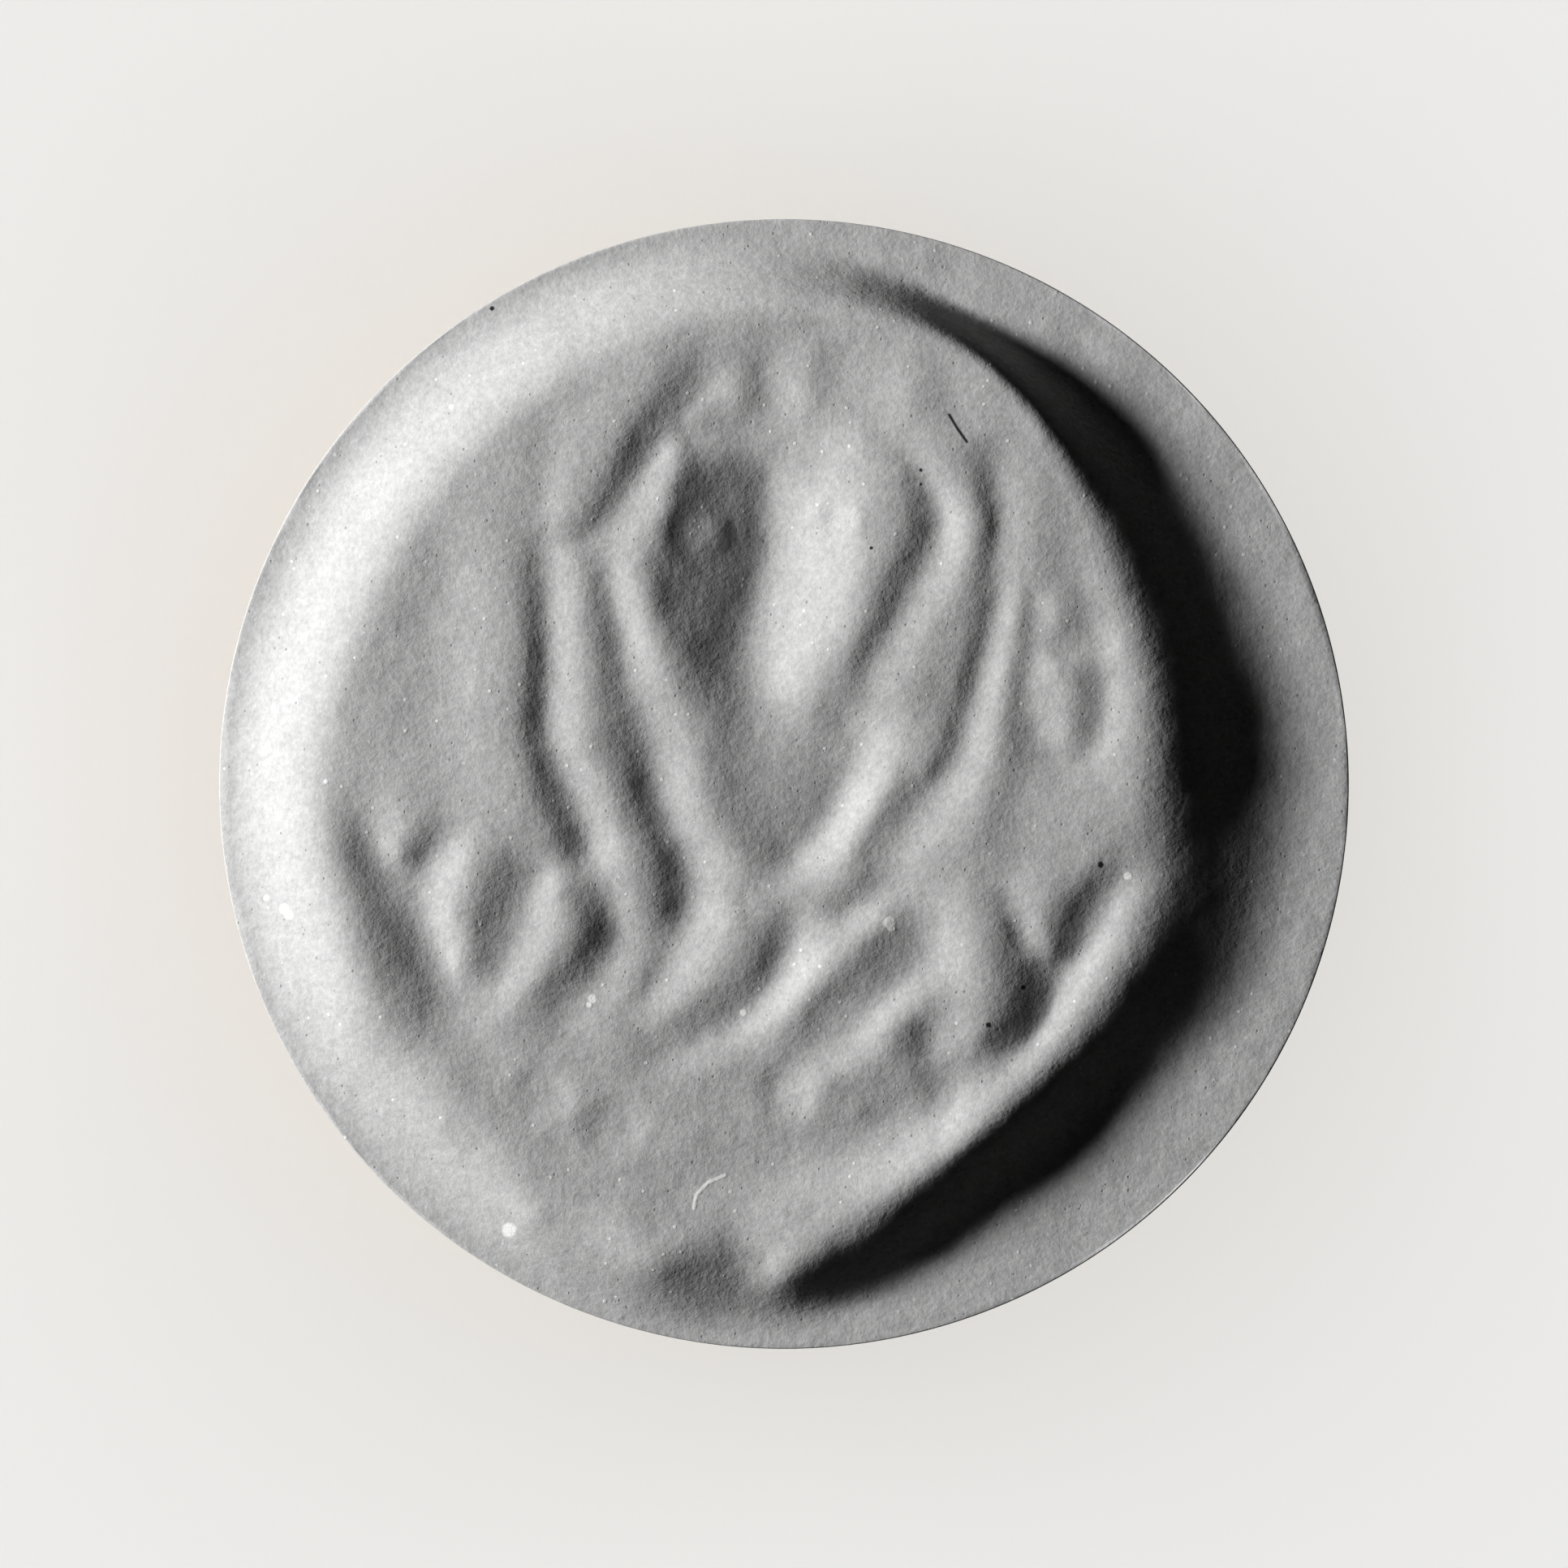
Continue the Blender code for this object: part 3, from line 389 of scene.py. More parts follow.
# The design's crests and hollows: X and Y in millimetres from the middle, and hundredths of a millimetre over
# the flat field, before cutScale
carvedLines = {
    # Quiet ground round the design
    "groundTop": (
        (-4.5, 8.9, 0), (-3, 9.7, 0), (-1.4, 10, -3), (0.5, 10, -5), (2.2, 9.7, -5), (3.8, 8.9, -4),
    ),
    "groundUpperLeft": ((-6.5, 7.2, 0), (-7.6, 5.8, 0), (-8.3, 4.2, 0), (-8.8, 2.4, 0), (-9.2, 0.8, 0)),
    "groundLeft": ((-7.1, 4.8, -7), (-7.05, 3, -9), (-7.1, 1.2, -7), (-7.4, 0, -6)),
    "groundLeftRise": ((-6.3, 5.2, 2), (-6.3, 3.4, 2), (-6.3, 1.6, 1), (-6.2, 0, -2)),
    "groundLeftInner": ((-5.6, 7.6, 0), (-5.55, 6.4, -2)),
    "groundUpperRight": ((5.4, 7.2, -5), (5.9, 6.4, -8), (6, 5.2, -10), (6, 4.4, -12)),
    "groundRight": ((7, 0.4, -12), (6.6, -0.6, -16), (5.4, -0.4, -20), (4.9, -1.5, -26), (6.2, -1.6, -22)),
    "groundLowerLeft": ((-7.7, -5.6, -28), (-6.5, -5.7, -38), (-5.3, -7, -42), (-4.6, -8.2, -42)),
    "groundBottom": ((-6.9, -7.4, -20), (-5.6, -8.6, -22), (-4.2, -9.5, -28)),
    "bottomNotchTop": ((-3.3, -9.2, -33), (-2.5, -9.4, -38), (-1.85, -9.5, -42)),
    "bottomNotch": ((-1.15, -9.4, -55), (-1.1, -9.8, -55), (-1.1, -10.2, -50)),
    "bottomNotchEnd": ((-0.5, -9.5, -51), (-0.4, -10.1, -50)),
    # Arch over the head
    "archOuter": ((-3.3, 8.7, 2), (-3.8, 8, 3), (-4.2, 7.2, 4), (-4.45, 6.4, 4), (-4.7, 5.6, 2)),
    "archOuterFoot": ((-4.7, 7.8, -2), (-4.95, 6.8, -3), (-5.1, 5.9, -5)),
    "archEdge": (
        (-2.18, 9.15, -2), (-2.73, 8.5, 0), (-3.33, 7.6, 0), (-3.78, 6.7, 0), (-3.98, 6.1, -2),
        (-4.28, 5.55, -3),
    ),
    "archFoot": (
        (-1.5, 8.8, -16), (-1.7, 8.3, -25), (-2.3, 7.5, -27), (-2.9, 6.6, -24), (-3.35, 6, -20),
        (-3.75, 5.45, -16), (-4.3, 5.13, -12),
    ),
    "archTip": ((-0.9, 9.35, -6), (-1.3, 9.05, -8)),
    "archTipFoot": ((-0.2, 9.3, -14), (-0.7, 8.9, -16), (-1.2, 8.65, -17)),
    # Crown between arch and brow
    "crownLeft": ((-1.9, 7.8, -24), (-1.6, 8.4, -22)),
    "crownBump": ((-1, 8.6, -16), (-0.95, 8.1, -18)),
    "crownLine": ((-0.4, 8.8, -24), (-0.4, 8.2, -28), (-0.5, 7.7, -32)),
    "crownRidge": ((0.45, 9, -14), (0.5, 8.4, -16), (0.5, 7.8, -20)),
    "crownDip": ((1.15, 9.1, -18), (1.15, 8.5, -22), (1.3, 7.9, -18)),
    "crownRight": ((2.6, 9, -6), (2.7, 8.3, -4), (2.75, 7.8, -2)),
    "browTop": ((1.9, 8.3, -16), (2, 7.6, -13)),
    "crownFarRight": ((3.4, 8.5, -7), (3.5, 7.7, -6), (4.3, 7.5, -4)),
    # Head, a deep egg that narrows to the chin
    "headTop": ((-1.9, 7.3, -34), (-1.2, 7.5, -36), (-0.5, 7.4, -40), (0.3, 7.4, -34), (1.2, 7.5, -20)),
    "headTopFoot": ((-1.5, 6.9, -36), (-0.8, 6.95, -50), (-0.1, 6.95, -50), (0.7, 6.95, -34)),
    "headLeftRim": ((-2.3, 7, -16), (-2.4, 6.4, -10), (-2.65, 5.5, -6), (-2.85, 4.6, -2)),
    "headLeftEdge": ((-2.15, 6.2, -19), (-2.25, 5.4, -19), (-2.45, 4.4, -16), (-2.4, 3.6, -16)),
    "headLeftWall": (
        (-1.5, 6.3, -46), (-1.6, 5.5, -46), (-1.7, 4.6, -46), (-1.75, 3.8, -43), (-1.6, 3.1, -43),
        (-1.5, 2.5, -41),
    ),
    "headFloorEdge": ((-0.95, 6.2, -64), (-0.95, 5.4, -70), (-1, 4.6, -73), (-1.1, 3.9, -70)),
    "headFloor": (
        (-0.35, 6.4, -78), (-0.3, 5.6, -88), (-0.35, 4.8, -92), (-0.6, 4, -88), (-0.7, 3.3, -77),
        (-0.85, 2.7, -66), (-0.85, 2.2, -58),
    ),
    "headRightWall": ((0.8, 6.4, -38), (0.85, 5, -40), (0.75, 4, -38), (0.55, 3.2, -32)),
    "headRightRim": (
        (1.75, 7.2, -6), (2, 6.5, 3), (2.1, 5.7, 7), (2.1, 4.9, 7), (1.95, 4.2, 4), (1.7, 3.4, 0),
        (1.3, 2.6, -6), (0.8, 2, -14),
    ),
    "chin": ((-0.35, 2.2, -57), (-0.05, 1.75, -46)),
    "chinBulge": ((0.3, 2.5, -28), (0.35, 2.1, -24)),
    # Brow, a bent ridge right of the head
    "browFoot": (
        (2.3, 7.1, -5), (2.8, 6.7, -8), (3.2, 6.1, -14), (3.4, 5.5, -19), (3.15, 4.9, -18), (2.8, 4.2, -18),
        (2.4, 3.5, -18), (2, 2.8, -17), (1.65, 2.25, -18), (1.4, 1.8, -22),
    ),
    "browFall": ((2.47, 6.7, 0), (2.72, 6.1, -3), (2.82, 5.4, -5), (2.62, 4.7, -8)),
    "browRidge": (
        (3.05, 7.2, 2), (3.6, 6.5, 5), (3.95, 5.95, 7), (4.08, 5.4, 7), (3.85, 4.7, 1), (3.45, 4, -4),
        (3.05, 3.2, -6), (2.65, 2.5, -7), (2.4, 1.9, -8),
    ),
    "bandInner": ((3.5, 3.2, -8), (3.25, 2.4, -8), (3, 1.6, -12), (2.75, 0.9, -18)),
    "bandFoot": (
        (4.4, 7, -8), (4.4, 6.3, -9), (4.5, 5.4, -10), (4.45, 4.5, -14), (4.57, 3.8, -22), (4.42, 3.2, -25),
        (4.22, 2.6, -28), (4.09, 2, -28), (3.95, 1.4, -29), (3.77, 0.9, -32), (3.42, 0.3, -36),
        (2.97, -0.3, -39), (2.57, -0.9, -40), (2.32, -1.4, -39),
    ),
    "bandTop": (
        (4.17, 3.8, -11), (3.97, 3.2, -14), (3.77, 2.4, -15.5), (3.62, 1.7, -17.5), (3.42, 1, -21),
        (3.02, 0.3, -24),
    ),
    "bandOuter": (
        (5.1, 6.3, -6), (5.1, 5.3, -6), (5.05, 4.5, -8), (4.95, 3.6, -12), (4.85, 2.9, -12),
        (4.7, 2.2, -12), (4.6, 1.5, -12), (4.4, 0.8, -14), (4.05, 0, -18), (3.6, -0.8, -22),
        (3.1, -1.6, -26),
    ),
    "bandInnerLow": ((2.6, 0.2, -26), (2.35, -0.4, -30), (2, -1, -33), (1.75, -1.5, -34)),
    # Small mark on the right
    "markLeftFoot": ((5.25, 4, -14), (5.2, 3.4, -17), (5.2, 2.8, -18), (5.12, 2.2, -19), (5.1, 1.6, -21)),
    "markLowerFoot": ((5.3, 1.15, -26), (5.65, 0.65, -28), (6, 0.25, -27)),
    "markUpperLobe": ((5.8, 3.9, -9), (5.85, 3.4, -8)),
    "markValley": ((5.5, 2.95, -17), (6, 2.8, -19), (6.45, 2.75, -20)),
    "markBar": ((5.75, 2.4, -4), (6.3, 2.3, -6)),
    "markLowerLobe": ((5.95, 1.9, -9), (6, 1.4, -11), (6.15, 0.95, -15)),
    "markHollow": ((6.35, 4, -14), (6.58, 3.6, -16), (6.75, 3.2, -18), (6.86, 2.9, -20)),
    "markLowerHollow": ((6.87, 2.2, -16.5), (6.86, 1.6, -18), (6.75, 1, -20), (6.5, 0.5, -23)),
    "markArc": (
        (6.7, 4.2, -10), (6.92, 3.6, -9), (7.1, 2.9, -8), (7.17, 2.2, -7), (7.13, 1.5, -8),
        (7.02, 0.95, -10), (6.8, 0.4, -15),
    ),
    # Long bands left of the head
    "leftEdge": (
        (-5.52, 5, -4), (-5.47, 4, -5), (-5.42, 3, -5), (-5.42, 2, -5), (-5.52, 1.3, -6), (-5.42, 0.7, -7),
        (-5.22, 0.1, -8), (-4.97, -0.5, -12), (-4.82, -1.1, -15), (-4.82, -1.6, -20),
    ),
    "leftFoot": (
        (-5.05, 5, -14), (-4.98, 4.2, -19), (-4.95, 3.2, -22), (-4.95, 2.2, -23), (-5.02, 1.3, -24),
        (-4.9, 0.6, -25), (-4.65, 0, -28), (-4.35, -0.5, -33), (-4.15, -1, -38), (-4.1, -1.5, -42),
    ),
    "leftBand": (
        (-4.45, 4.7, -4), (-4.4, 3.8, -6), (-4.38, 2.8, -8), (-4.38, 1.8, -9), (-4.38, 1, -11),
        (-4.05, 0.3, -16), (-3.8, -0.3, -20), (-3.55, -0.9, -22), (-3.4, -1.5, -22), (-3.25, -2.1, -24),
        (-3.2, -2.7, -32),
    ),
    "innerFoot": (
        (-3.85, 4.7, -10), (-3.65, 4.1, -16), (-3.48, 3.3, -21), (-3.28, 2.5, -25), (-3.05, 1.8, -31),
        (-2.87, 1.1, -39), (-2.78, 0.4, -46), (-2.65, -0.2, -51), (-2.45, -0.8, -55), (-2.1, -1.3, -56),
        (-1.95, -1.9, -58), (-1.95, -2.5, -60), (-2.15, -3.1, -59), (-2.5, -3.8, -55), (-2.85, -4.5, -50),
    ),
    "innerTop": (
        (-4.12, 4.5, -5), (-4.02, 3.8, -8), (-3.9, 3.1, -10), (-3.82, 2.3, -12), (-3.67, 1.5, -17),
        (-3.42, 0.7, -24), (-3.22, 0, -30), (-3.07, -0.7, -34),
    ),
    "innerTopLow": ((-2.8, -1.3, -34), (-2.65, -1.9, -33), (-2.6, -2.6, -38)),
    "cheek": (
        (-3.15, 4.6, 3), (-2.98, 4, 2), (-2.8, 3.2, -2), (-2.5, 2.4, -10), (-2.15, 1.6, -20),
        (-1.95, 0.9, -26), (-1.9, 0.2, -30), (-1.75, -0.6, -36), (-1.4, -1.3, -40), (-0.9, -2, -42),
    ),
    "cheekUpper": ((-3, 5.4, -4), (-3.3, 4.9, -4)),
    # Round pool under the chin
    "pool": ((-1.3, 1.2, -35), (-1, 0.2, -42), (-0.8, -0.8, -48), (-0.5, -1.5, -50)),
    "poolMiddle": ((0.2, 1.3, -46), (0.2, 0.2, -56), (0, -0.6, -60)),
    "poolEdge": ((1.25, 1.3, -50), (1.2, 0.6, -61), (0.95, 0, -69), (0.5, -0.8, -71), (0, -1.4, -66)),
    "poolFoot": ((1.75, 1.1, -48), (1.65, 0.5, -58), (1.3, -0.2, -69), (0.9, -0.9, -73), (0.25, -1.6, -68)),
    "poolRim": (
        (2.4, 1.3, -20), (2.4, 0.6, -24), (2.2, -0.1, -25), (1.85, -0.7, -28), (1.4, -1.3, -32),
        (0.8, -1.9, -38), (0, -2.25, -42), (-0.8, -2.5, -43),
    ),
    # Leaves on the left
    "leafOutside": ((-9.5, -0.8, 0), (-9.2, -1.9, 0), (-8.7, -3, -3), (-8.3, -3.8, -9), (-7.85, -4.6, -19)),
    "leafFoot": (
        (-8.85, -0.8, -12), (-8.45, -1.6, -22), (-7.85, -2.4, -30), (-7.4, -3.1, -33), (-7.1, -3.8, -36),
        (-6.95, -4.5, -39), (-7, -5, -38),
    ),
    "leafOne": ((-8.15, -0.6, -2), (-8.05, -1.1, -4), (-8.2, -1.6, -10)),
    "leafOneFall": ((-7.5, -0.7, -6), (-7.6, -1.15, -10)),
    "leafOneFoot": (
        (-6.9, -0.9, -12), (-7.1, -1.25, -21), (-7.4, -1.6, -27), (-7.75, -1.95, -30), (-8.05, -2.25, -32),
    ),
    "leafTwo": (
        (-6.55, -1.25, -6), (-6.85, -2, -4), (-7.05, -2.7, -7), (-6.9, -3.4, -17), (-6.95, -3.9, -26),
    ),
    "leafTwoFall": ((-5.8, -1.6, -16), (-6.1, -2.4, -15), (-6.3, -3.1, -19)),
    "leafTwoFoot": (
        (-5.1, -1.95, -28), (-5.3, -2.4, -27), (-5.35, -3, -28), (-5.65, -3.6, -33), (-6, -4.1, -36),
        (-6.4, -4.5, -38),
    ),
    "leafThree": (
        (-4.85, -2.1, -14), (-4.85, -2.8, -14), (-4.9, -3.4, -16), (-5.2, -4.1, -21), (-5.8, -4.7, -26),
        (-6.1, -5.2, -32),
    ),
    "leafThreeFall": ((-4.3, -2.5, -20), (-4.18, -3.1, -22), (-4.5, -3.8, -28), (-5.05, -4.4, -30)),
    "leafThreeFoot": (
        (-3.6, -2.55, -40), (-3.45, -3.1, -48), (-3.65, -3.7, -50), (-4.15, -4.25, -48), (-4.75, -4.8, -43),
    ),
    "stem": (
        (-2.85, -3.4, -48), (-2.98, -3.9, -46), (-3.35, -4.4, -44), (-3.95, -4.9, -42), (-4.6, -5.4, -42),
    ),
    # Leaves in the middle
    "leafFour": (
        (-1.1, -2.85, -34), (-1.15, -3.4, -34), (-1.55, -4, -34), (-2.05, -4.55, -36), (-2.6, -5, -40),
    ),
    "leafFourFall": ((-0.38, -2.8, -39), (-0.4, -3.4, -42), (-0.7, -4, -44), (-1.3, -4.6, -45)),
    "leafFourFoot": (
        (0.25, -2.7, -47), (0.22, -3.5, -55), (-0.05, -4.15, -57), (-0.58, -4.75, -57), (-1.35, -5.3, -57),
        (-2.4, -5.8, -56),
    ),
    "leafFive": (
        (2.1, -2.9, -26), (1.6, -3.25, -19), (1.15, -3.65, -16), (0.6, -4.22, -20), (0.1, -4.75, -28),
        (-0.45, -5.25, -38), (-1.2, -5.75, -47), (-2.2, -6.2, -50), (-3.2, -7.1, -48),
    ),
    "leafFiveFall": ((2.2, -3.25, -28), (1.75, -3.8, -23), (1.2, -4.35, -26), (0.7, -4.85, -33)),
    "leafFiveFoot": (
        (2.75, -3.3, -41), (2.5, -3.85, -40), (2.05, -4.35, -38), (1.6, -4.8, -39), (1.1, -5.3, -43),
        (0.5, -5.8, -47),
    ),
    "leafSixFoot": ((2.75, -4.1, -39), (2.2, -4.55, -38), (1.75, -5, -37), (1.45, -5.5, -40)),
    "leafSix": (
        (3.05, -4.25, -28), (2.5, -4.75, -22), (2.05, -5.2, -21), (1.8, -5.7, -26), (1.3, -6.1, -35),
    ),
    "smallHollow": ((2.2, -2.2, -42), (1.7, -2.6, -44), (1.2, -2.85, -45)),
    "smallHollowTop": ((1.6, -2.05, -34), (0.9, -2.4, -36)),
    "hookFoot": ((3.1, -5.3, -36), (3, -5.8, -39)),
    "ribFoot": ((2.75, -2.4, -36), (3, -3, -40), (3.1, -3.7, -44)),
    "rib": ((3.55, -2.1, -25), (3.85, -2.9, -19), (3.95, -3.8, -13), (4.05, -4.6, -13), (4.15, -5.3, -18)),
    "ribBack": ((4.3, -2.3, -22), (4.6, -3, -23), (4.85, -3.6, -25), (4.95, -4.3, -26), (4.8, -5, -28)),
    # Pockets by the right edge
    "streakFoot": ((4.65, -2.3, -28), (4.9, -2.8, -33), (5.15, -3.3, -40)),
    "streak": ((5.05, -2.2, -22), (5.3, -2.7, -23), (5.5, -3.15, -29), (5.7, -3.55, -40)),
    "upperPocket": ((7.15, -2.1, -40), (6.85, -2.7, -48), (6.4, -3.25, -53), (6.05, -3.75, -55)),
    "upperPocketTop": ((6.5, -1.6, -20), (6.1, -2.2, -23), (5.85, -2.8, -28), (5.7, -3.1, -32)),
    "lowerPocket": ((5.45, -3.9, -48), (5.5, -4.4, -52), (5.3, -5, -49), (4.95, -5.5, -44)),
    "pocketRim": (
        (7.4, -2.6, -22), (6.95, -3.3, -28), (6.45, -4.1, -28), (6.1, -4.85, -24), (5.65, -5.55, -18),
        (5.1, -6.2, -10), (4.6, -6.8, -4), (3.95, -7.5, -8), (3, -8.2, -20), (1.6, -8.75, -36),
        (-0.1, -8.95, -48),
    ),
    "pocketRimBack": ((4.1, -8.1, -8), (2.8, -8.9, -18), (1.4, -9.4, -30), (0.4, -9.6, -38)),
    "pocketRimFoot": (
        (6.95, -2.75, -50), (6.45, -3.4, -55), (6, -4.05, -57), (5.7, -4.7, -55), (5.3, -5.35, -50),
        (4.75, -5.95, -42), (4.1, -6.6, -38), (3.4, -7.3, -46),
    ),
    # Basin at the bottom
    "basinTop": ((-1.9, -6.3, -50), (-0.9, -6.35, -56), (-0.1, -6.35, -60)),
    "basinPatch": ((0.7, -6.3, -42), (0.75, -6.8, -46)),
    "basinPatchFoot": ((1.5, -6.5, -48), (1.6, -7, -54)),
    "basinSpur": ((2, -6.2, -36), (2.7, -6.1, -38)),
    "basinPit": ((3.55, -6.2, -50), (3.5, -6.8, -56)),
    "basinFloor": (
        (-2.2, -7.6, -54), (-1, -7.95, -62), (0.3, -8.1, -66), (1.4, -7.95, -66), (2.4, -7.65, -62),
    ),
    "basinMiddle": ((-0.8, -7.1, -60), (0.6, -7.3, -64), (2, -7.2, -68)),
}


def ease(share):
    share = np.clip(share, 0, 1)
    return share * share * (3 - 2 * share)


def curveThrough(points, steps):
    points = np.array(points, float)
    padded = np.vstack([points[:1], points, points[-1:]])
    made = []
    for before, start, end, after in zip(padded, padded[1:], padded[2:], padded[3:]):
        for t in np.arange(steps) / steps:
            made.append(0.5 * (
                2 * start + (end - before) * t + (2 * before - 5 * start + 4 * end - after) * t ** 2
                + (3 * start - before - 3 * end + after) * t ** 3
            ))
    return np.array(made + [points[-1]])


def radiusAt(angle, radii):
    # A closed smooth curve through radii at even turns
    radii = np.array(radii)
    place = (angle / math.tau % 1) * len(radii)
    index = np.floor(place).astype(int)
    t = place - index
    a, b, c, d = (radii[(index + shift) % len(radii)] for shift in (-1, 0, 1, 2))
    squared, cubed = 2 * a - 5 * b + 4 * c - d, 3 * b - a - 3 * c + d
    return 0.5 * (2 * b + (c - a) * t + squared * t ** 2 + cubed * t ** 3)


def plateKernel(squared):
    return 0.5 * squared * np.log(squared + 1e-9)


def bentPlate(x, y, fixed):
    # A thin plate bent through points of fixed height
    count = len(fixed)
    flat = np.c_[np.ones(count), fixed[:, :2]]
    gaps = ((fixed[:, None, :2] - fixed[None, :, :2]) ** 2).sum(-1)
    system = np.zeros((count + 3, count + 3))
    system[:count, :count] = plateKernel(gaps) + face["give"] * np.eye(count)
    system[:count, count:] = flat
    system[count:, :count] = flat.T
    weights = np.linalg.solve(system, np.r_[fixed[:, 2], 0, 0, 0])
    height = weights[count] + weights[count + 1] * x + weights[count + 2] * y
    for point, weight in zip(fixed, weights):
        height = height + weight * plateKernel((x - point[0]) ** 2 + (y - point[1]) ** 2)
    return height


def fixedPoints():
    unit = (1, 1, 100)  # the lines give heights in hundredths
    lines = [curveThrough(np.array(points) / unit, face["lineSteps"]) for points in carvedLines.values()]
    turns = np.linspace(0, math.tau, face["anchors"], endpoint=False)
    for radius in face["anchorRadii"]:
        lines.append(np.c_[radius * np.cos(turns), radius * np.sin(turns), np.zeros(len(turns))])
    kept = []
    for point in np.vstack(lines):
        if all(math.hypot(point[0] - x, point[1] - y) > face["leastGap"] for x, y, _ in kept):
            kept.append(point)
    return np.array(kept)


def smoothNoise(x, y, size, seed):
    # Random heights on a square lattice, eased between
    side = 256
    lattice = np.random.default_rng(seed).uniform(-1, 1, (side, side))
    column, row = np.floor(x / size).astype(int), np.floor(y / size).astype(int)
    across, up = ease(x / size - column), ease(y / size - row)
    corner = [[lattice[(row + j) % side, (column + i) % side] for i in (0, 1)] for j in (0, 1)]
    lower = corner[0][0] + (corner[0][1] - corner[0][0]) * across
    upper = corner[1][0] + (corner[1][1] - corner[1][0]) * across
    return lower + (upper - lower) * up


def carvedHeight(x, y):
    radius, angle = np.hypot(x, y), np.arctan2(y, x)
    shoulder, foot = radiusAt(angle, face["shoulder"]), radiusAt(angle, face["foot"])
    down = np.clip((radius - shoulder) / (foot - shoulder), 0, 1)
    field = 1 - down ** 3 * (down * (6 * down - 15) + 10)
    height = field * (face["fieldHeight"] + face["cutScale"] * bentPlate(x, y, fixedPoints()))
    for middleX, middleY, reach, deep, tilt in face["dents"]:
        inside = ease((1 - np.hypot(x - middleX, y - middleY) / reach) / face["dentRim"])
        height += inside * (tilt * (x - middleX) - deep)
    for step, (size, depth) in enumerate(face["undulation"]):
        height += depth * smoothNoise(x, y, size, face["seed"] + step)
    spare = (face["highest"] - height) / face["softTop"]
    return face["highest"] - face["softTop"] * np.logaddexp(0, spare)  # never over the highest level


sharpAngle = 35


def smoothed(mesh, sharp=sharpAngle):
    mesh.shade_smooth()
    mesh.set_sharp_from_angle(angle=math.radians(sharp))
    return mesh


def evaluated(made):
    return bpy.data.meshes.new_from_object(made.evaluated_get(bpy.context.evaluated_depsgraph_get()))


def finished(name, verts, faces, finish, sharp=sharpAngle):
    mesh = bpy.data.meshes.new(name)
    mesh.from_pydata(verts, [], faces)
    return placed(name, mesh, finish, sharp)


def placed(name, mesh, finish, sharp=sharpAngle, mergeWithin=0.0):
    # An object at the origin, faces outwards, smooth but for its sharp edges
    bm = bmesh.new()
    bm.from_mesh(mesh)
    if mergeWithin:
        bmesh.ops.remove_doubles(bm, verts=bm.verts, dist=mergeWithin)
    bmesh.ops.recalc_face_normals(bm, faces=bm.faces)
    bm.to_mesh(mesh)
    bm.free()
    smoothed(mesh, sharp)
    mesh.materials.clear()
    mesh.materials.append(finish.material)
    made = bpy.data.objects.new(name, mesh)
    bpy.context.scene.collection.objects.link(made)
    return made


def declare(piece, body, slot, *nodes):
    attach(piece, body)
    if nodes:
        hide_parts(*nodes)
    return piece


def makeFace(finish):
    count = face["cells"]
    outer = radiusOf("seal_matrix") / mm
    topRadius = outer - face["edgeRound"]
    bottom = lowOf("seal_matrix") / mm + face["spigotHeight"]
    ring = bottom + face["flange"]
    across = np.linspace(-1, 1, count + 1)
    u, v = np.meshgrid(across, across)
    x = topRadius * u * np.sqrt(1 - v * v / 2)
    y = topRadius * v * np.sqrt(1 - u * u / 2)
    height = carvedHeight(x, y) * ease((topRadius - np.hypot(x, y)) / face["edgeRound"])
    verts = [np.c_[x.ravel(), y.ravel(), (ring + height).ravel()]]
    index = np.arange((count + 1) ** 2).reshape(count + 1, count + 1)
    quads = np.stack([index[:-1, :-1], index[:-1, 1:], index[1:, 1:], index[1:, :-1]], -1)
    faces = quads.reshape(-1, 4).tolist()
    loop = np.r_[index[0, :-1], index[:-1, -1], index[-1, :0:-1], index[:0:-1, 0]]
    turns = np.arctan2(y.ravel()[loop], x.ravel()[loop])
    side = [
        (topRadius + face["edgeRound"] * math.sin(a), ring - face["edgeRound"] * (1 - math.cos(a)))
        for a in np.linspace(0, math.pi / 2, 4)[1:]
    ]
    side += [
        (outer, bottom + face["chamfer"]), (outer - face["chamfer"], bottom),
        (face["spigotRadius"], bottom), (face["spigotRadius"], bottom - face["spigotHeight"]),
    ]
    total = (count + 1) ** 2
    for radius, level in side:
        verts.append(np.c_[radius * np.cos(turns), radius * np.sin(turns), np.full(len(turns), level)])
        below = np.arange(total, total + len(turns))
        faces += np.stack([below, np.roll(below, -1), np.roll(loop, -1), loop], -1).tolist()
        total += len(turns)
        loop = below
    verts.append(np.array([[0, 0, bottom - face["spigotHeight"]]]))
    faces += [[total, after, here] for here, after in zip(loop.tolist(), np.roll(loop, -1).tolist())]
    made = finished("carved_face", (np.vstack(verts) * mm).tolist(), faces, finish, sharp=50)
    return declare(made, "head", "seal_stone", "seal_matrix")


# Turned pieces: an outline of radius and height, spun about the stamp's axis

def spun(outline, sides, closed=False):
    verts, rings, faces = [], [], []
    turns = np.linspace(0, math.tau, sides, endpoint=False)
    for radius, height in outline:
        if radius < 1e-9:
            rings.append([len(verts)])
            verts.append((0.0, 0.0, height))
        else:
            rings.append(list(range(len(verts), len(verts) + sides)))
            verts += [(radius * math.cos(t), radius * math.sin(t), height) for t in turns]
    pairs = list(zip(rings, rings[1:] + rings[:1])) if closed else list(zip(rings, rings[1:]))
    for lower, upper in pairs:
        for side in range(sides):
            after = (side + 1) % sides
            corners = [lower[side % len(lower)], lower[after % len(lower)]]
            corners += [upper[after % len(upper)], upper[side % len(upper)]]
            faces.append(list(dict.fromkeys(corners)))
    return verts, faces


